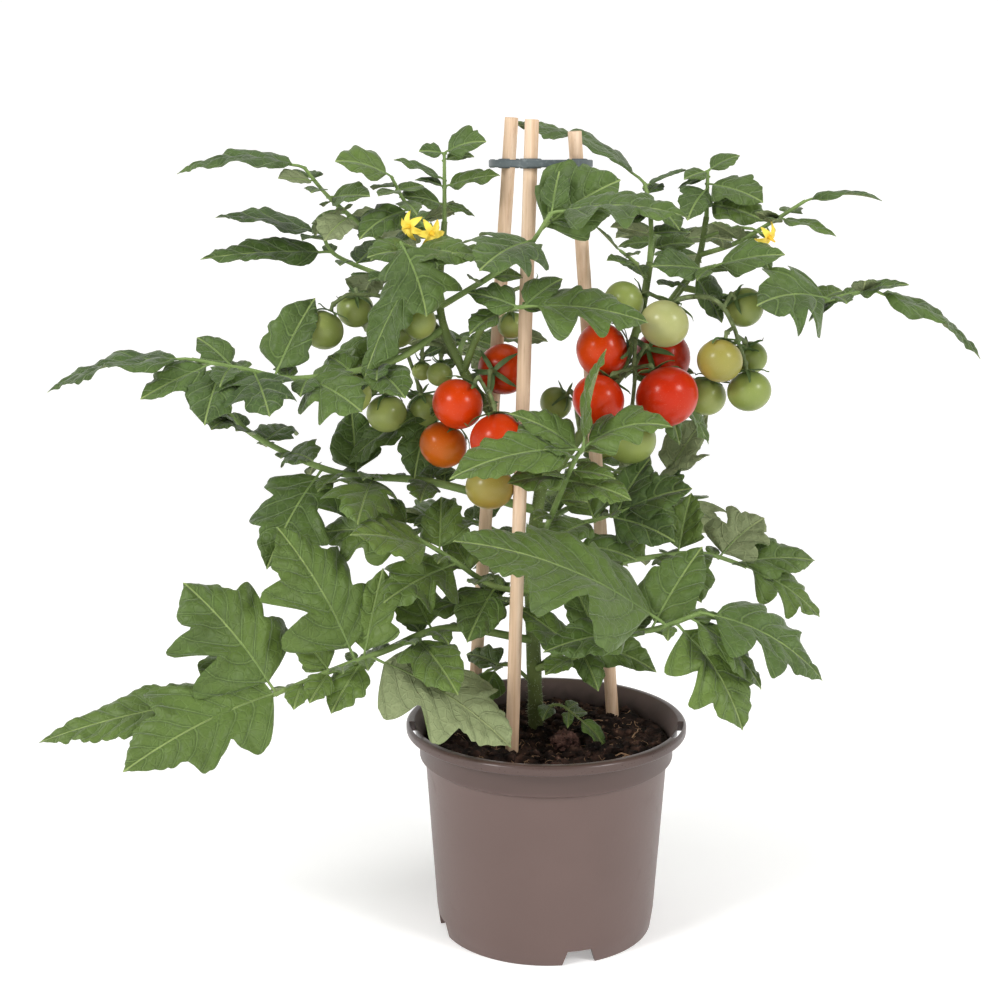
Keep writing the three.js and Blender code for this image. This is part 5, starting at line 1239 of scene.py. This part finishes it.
def addSepals(bm, centre, radius, axis, chance):  # five narrow leaves round a fruit's crown, and a button
    plan, button = fruitShape["sepal"], fruitShape["button"]
    place = facing(centre, axis)
    reach = max(radius, plan["least"])
    crown = fruitShape["flatness"] * radius
    turned = chance.uniform(0, 6)
    for sepal in range(5):
        angle = turned + math.tau * sepal / 5 + chance.uniform(-0.12, 0.12)
        length = reach * chance.uniform(0.92, 1.12)
        curl = plan["curl"] * chance.uniform(0.2, 1.2)
        swing = chance.uniform(-0.25, 0.25)
        turn = place @ Matrix.Rotation(angle, 4, "Z")

        def pointAt(along, v):
            out = plan["foot"] + (length - plan["foot"]) * along
            width = plan["width"] * reach * (math.sin(math.pi * min(1, 0.18 + 0.82 * along)) ** 0.75 + 0.06)
            skin = crown * math.sqrt(max(0.05, 1 - (out / radius) ** 2))
            high = skin + 0.75 + curl * along ** 2.5 + 0.35 * v * v
            return turn @ (Vector((out, v * width + swing * out * along, high)) * mm)
        addStrip(bm, plan["rows"], plan["thickness"], sepalPart, pointAt)
    wide, narrow = button["radii"]
    top = place @ Matrix.Translation((0, 0, (crown + button["proud"]) * mm))
    made = bmesh.ops.create_cone(bm, cap_ends=True, segments=12, radius1=wide * mm, radius2=narrow * mm,
                                 depth=button["depth"] * mm, matrix=top)
    paint(facesOf(made["verts"]), sepalPart)


def pedicelGirth(share):  # thin, with the knuckle that a ripe fruit breaks off at
    plan = fruitShape["pedicel"]
    knuckle = plan["knuckle"] * math.exp(-((share - 0.52) / 0.07) ** 2)
    cup = plan["cup"] * max(0, share - 0.85) / 0.15
    return (plan["girth"] + knuckle + cup) * mm


def addPedicel(bm, start, centre, radius, axis):
    plan = fruitShape["pedicel"]
    crown = fruitShape["flatness"] * radius
    bend = centre + axis * (crown + plan["straight"]) * mm
    end = centre + axis * (crown + fruitShape["button"]["proud"]) * mm
    path = spread(lineThrough([start / mm, bend / mm, end / mm]), 1)
    addTube(bm, path, pedicelGirth, plan["sides"])


def makeTrusses():
    stalk, hairs = fruitShape["stalk"], fruitShape["hairs"]
    vineFinishes = [vineFinish, ripeness["green"], sepalFinish, hairFinish]
    for name, (line, fruit) in trussPlan.items():
        chance = random.Random(name)
        at = lineThrough(line)
        path = spread(at, stalk["every"])
        bm = fruitMesh()
        girthAt = swelling(path, *stalk["girth"], stalk["lumps"], len(name))
        addTube(bm, path, girthAt, stalk["sides"])
        addHairs(bm, path, girthAt, hairs["count"], hairs, chance)
        loose = 0
        for place, middle, radius, ripe in fruit:
            start, centre = at(place), Vector(middle) * mm
            axis = (start - centre + upward * radius * mm).normalized()  # the way the fruit's crown looks
            addPedicel(bm, start, centre, radius, axis)
            addSepals(bm, centre, radius, axis, chance)
            if ripe == "green":
                addFruit(bm, centre, radius, axis, chance, greenFruitPart)
                continue
            loose += 1
            fruitBm = fruitMesh()
            addFruit(fruitBm, centre, radius, axis, chance)
            ending = f"{name.replace('truss_', '')}_{loose}"
            makePiece(fruitBm, "tomato_" + ending, [ripeness[ripe]], "fruit_" + ending)
        makePiece(bm, name.replace("truss", "vine"), vineFinishes, name)
    print("trusses:", len(trussPlan))


flowerShape = {
    "petals": 6,
    "rows": 9,
    "thickness": 0.25,
    "stalk": (1.2, 0.8),
    "petal": {"reach": 1, "width": 1.9, "lift": 1.6, "drop": 3.4},  # reach is a share of the flower's radius
    "sepal": {"reach": 0.75, "width": 0.8, "lift": 0.5, "drop": 3.2},
    "foot": 0.5,
    "cone": {"radii": (1.5, 0.45), "height": 6, "sides": 10},
    "heart": 2.6,  # the feet of the petals have the cone's colour this far from its middle
}
sprayPlan = {  # each spray: the line of its stalk, and its flowers as (place, centre, radius)
    "left": ([(-62, 0, 400), (-68, -14, 416), (-72, -26, 426)],
             [(1, (-78, -34, 427), 8.5), (0.8, (-66, -34, 423), 8.5), (0.6, (-63, -30, 409), 8)]),
    "right": ([(93, 29, 418), (108, 16, 424), (118, 8, 424)], [(1, (126, 0, 420), 8)]),
}
antherPart = 1

petalFinish = Finish("yellowPetal", {"Roughness": 0.5})
veiny = petalFinish.noise(420, 3)
petalFinish.feed("Base Color", petalFinish.blend(veiny, linear(240, 205, 52), linear(250, 226, 96)))
petalFinish.relief(veiny, 0.0002, 0.5)

antherFinish = Finish("antherCone", {"Roughness": 0.5})
antherFinish.mottled(500, linear(226, 176, 34), linear(240, 200, 60))


def addPetal(bm, place, angle, radius, plan, chance, part=0):  # or a sepal, bent back towards its tip
    length, foot = radius * plan["reach"], flowerShape["foot"]
    twist = chance.uniform(-0.3, 0.3)
    turn = place @ Matrix.Rotation(angle, 4, "Z")

    def pointAt(along, v):
        width = plan["width"] * (math.sin(math.pi * min(1, 0.2 + 0.8 * along)) ** 0.7 + 0.05)
        arch = plan["lift"] * math.sin(math.pi * along) - plan["drop"] * along ** 2
        high = arch + twist * v * along + 0.4 * v * v
        return turn @ (Vector((foot + (length - foot) * along, v * width, high)) * mm)
    addStrip(bm, flowerShape["rows"], flowerShape["thickness"], part, pointAt)


def makeFlower(name, node, centre, radius, axis, chance):
    petals, cone = flowerShape["petals"], flowerShape["cone"]
    place = facing(centre, axis)
    bm = bmesh.new()
    turned = chance.uniform(0, 6)
    for petal in range(petals):
        angle = turned + math.tau * petal / petals
        addPetal(bm, place, angle, radius, flowerShape["petal"], chance)
        addPetal(bm, place, angle + math.pi / petals, radius, flowerShape["sepal"], chance, sepalPart)
    middle = place @ Matrix.Translation((0, 0, cone["height"] / 2 * mm))
    wide, narrow = cone["radii"]
    bmesh.ops.create_cone(bm, cap_ends=True, segments=cone["sides"], radius1=wide * mm, radius2=narrow * mm,
                          depth=cone["height"] * mm, matrix=middle)
    heart = flowerShape["heart"] * mm
    paint([face for face in bm.faces if face.material_index == 0
           and (face.calc_center_median() - middle.translation).length < heart], antherPart)
    makePiece(bm, name, [petalFinish, antherFinish, sepalFinish], node, 50)


def makeSprays():
    first, last = flowerShape["stalk"]
    for side, (line, flowers) in sprayPlan.items():
        chance = random.Random(side)
        at = lineThrough(line)
        stalks = bmesh.new()
        addTube(stalks, spread(at, 3), lambda share: (first + (last - first) * share) * mm, 10)
        for number, (place, middle, radius) in enumerate(flowers, 1):
            start, centre = at(place), Vector(middle) * mm
            axis = (centre - start - upward * 3 * mm).normalized()
            path = [start.lerp(centre - axis * 0.3 * mm, step / 6) for step in range(7)]
            addTube(stalks, path, lambda share: (0.7 + 0.5 * share ** 4) * mm, 8)
            makeFlower(f"flower_{side}_{number}", f"bloom_{side}_{number}", centre, radius, axis, chance)
        makePiece(stalks, f"flower_stalk_{side}", [leafStalkFinish], f"spray_{side}")
    print("sprays:", len(sprayPlan))


studio = {
    "floor": (3, 48),  # half size in metres, and how finely it is divided
    "flat": 1.5,  # it is flat up to this radius, and curves up beyond it
    "bend": 0.6,
    "softboxes": [  # (place, size in metres, power in watts)
        ((-1.5, -1.3, 1.45), 0.55, 26),
        ((1.5, -1.25, 1.45), 0.55, 21),
        ((0, -0.1, 2.2), 1.4, 10),
    ],
    "target": (0, 0, 0.25),  # what they point at
    "world": 0.26,
    "camera": {"place": (-0.028, -0.982, 0.462), "down": 11.32, "lens": 60.84, "sensor": 36, "far": 20},
}

floorGlow = {"Emission Color": (1, 1, 1, 1), "Emission Strength": 0.31}
floorFinish = Finish("paleFloor", {"Roughness": 0.9, **floorGlow})
floorFinish.mottled(3, linear(246, 245, 244), linear(250, 250, 249))


def makeStudio():
    half, steps = studio["floor"]
    bm = bmesh.new()
    bmesh.ops.create_grid(bm, x_segments=steps, y_segments=steps, size=half)
    for vert in bm.verts:
        vert.co.z = studio["bend"] * max(0, vert.co.length - studio["flat"]) ** 2
    floor = meshObject(bm, "studio_floor")
    floor.data.shade_smooth()
    floor.data.materials.append(floorFinish.material)
    for number, (place, size, power) in enumerate(studio["softboxes"]):
        light = bpy.data.lights.new(f"softbox_{number}", "AREA")
        light.shape = "SQUARE"
        light.size = size
        light.energy = power
        lamp = show(light.name, light)
        lamp.location = place
        lamp.rotation_euler = (lamp.location - Vector(studio["target"])).to_track_quat("Z", "Y").to_euler()
    world = bpy.data.worlds.new("studio")
    world.use_nodes = True
    background = world.node_tree.nodes["Background"]
    background.inputs["Color"].default_value = (1, 1, 1, 1)
    background.inputs["Strength"].default_value = studio["world"]
    bpy.context.scene.world = world
    bpy.context.scene.view_settings.view_transform = "Standard"
    print("studio:", len(studio["softboxes"]), "softboxes")


def makeCamera():
    plan = studio["camera"]
    camera = bpy.data.cameras.new("camera")
    camera.lens = plan["lens"]
    camera.sensor_width = plan["sensor"]
    camera.clip_end = plan["far"]
    eye = show("camera", camera)
    eye.location = plan["place"]
    eye.rotation_euler = (math.radians(90 - plan["down"]), 0, 0)
    bpy.context.scene.camera = eye
    print("camera:", plan["lens"], "mm")


makePot()
makeSoil()
makeSticks()
makeRing()
makeStem()
makeLeaves()
makeTrusses()
makeSprays()
makeStudio()
makeCamera()
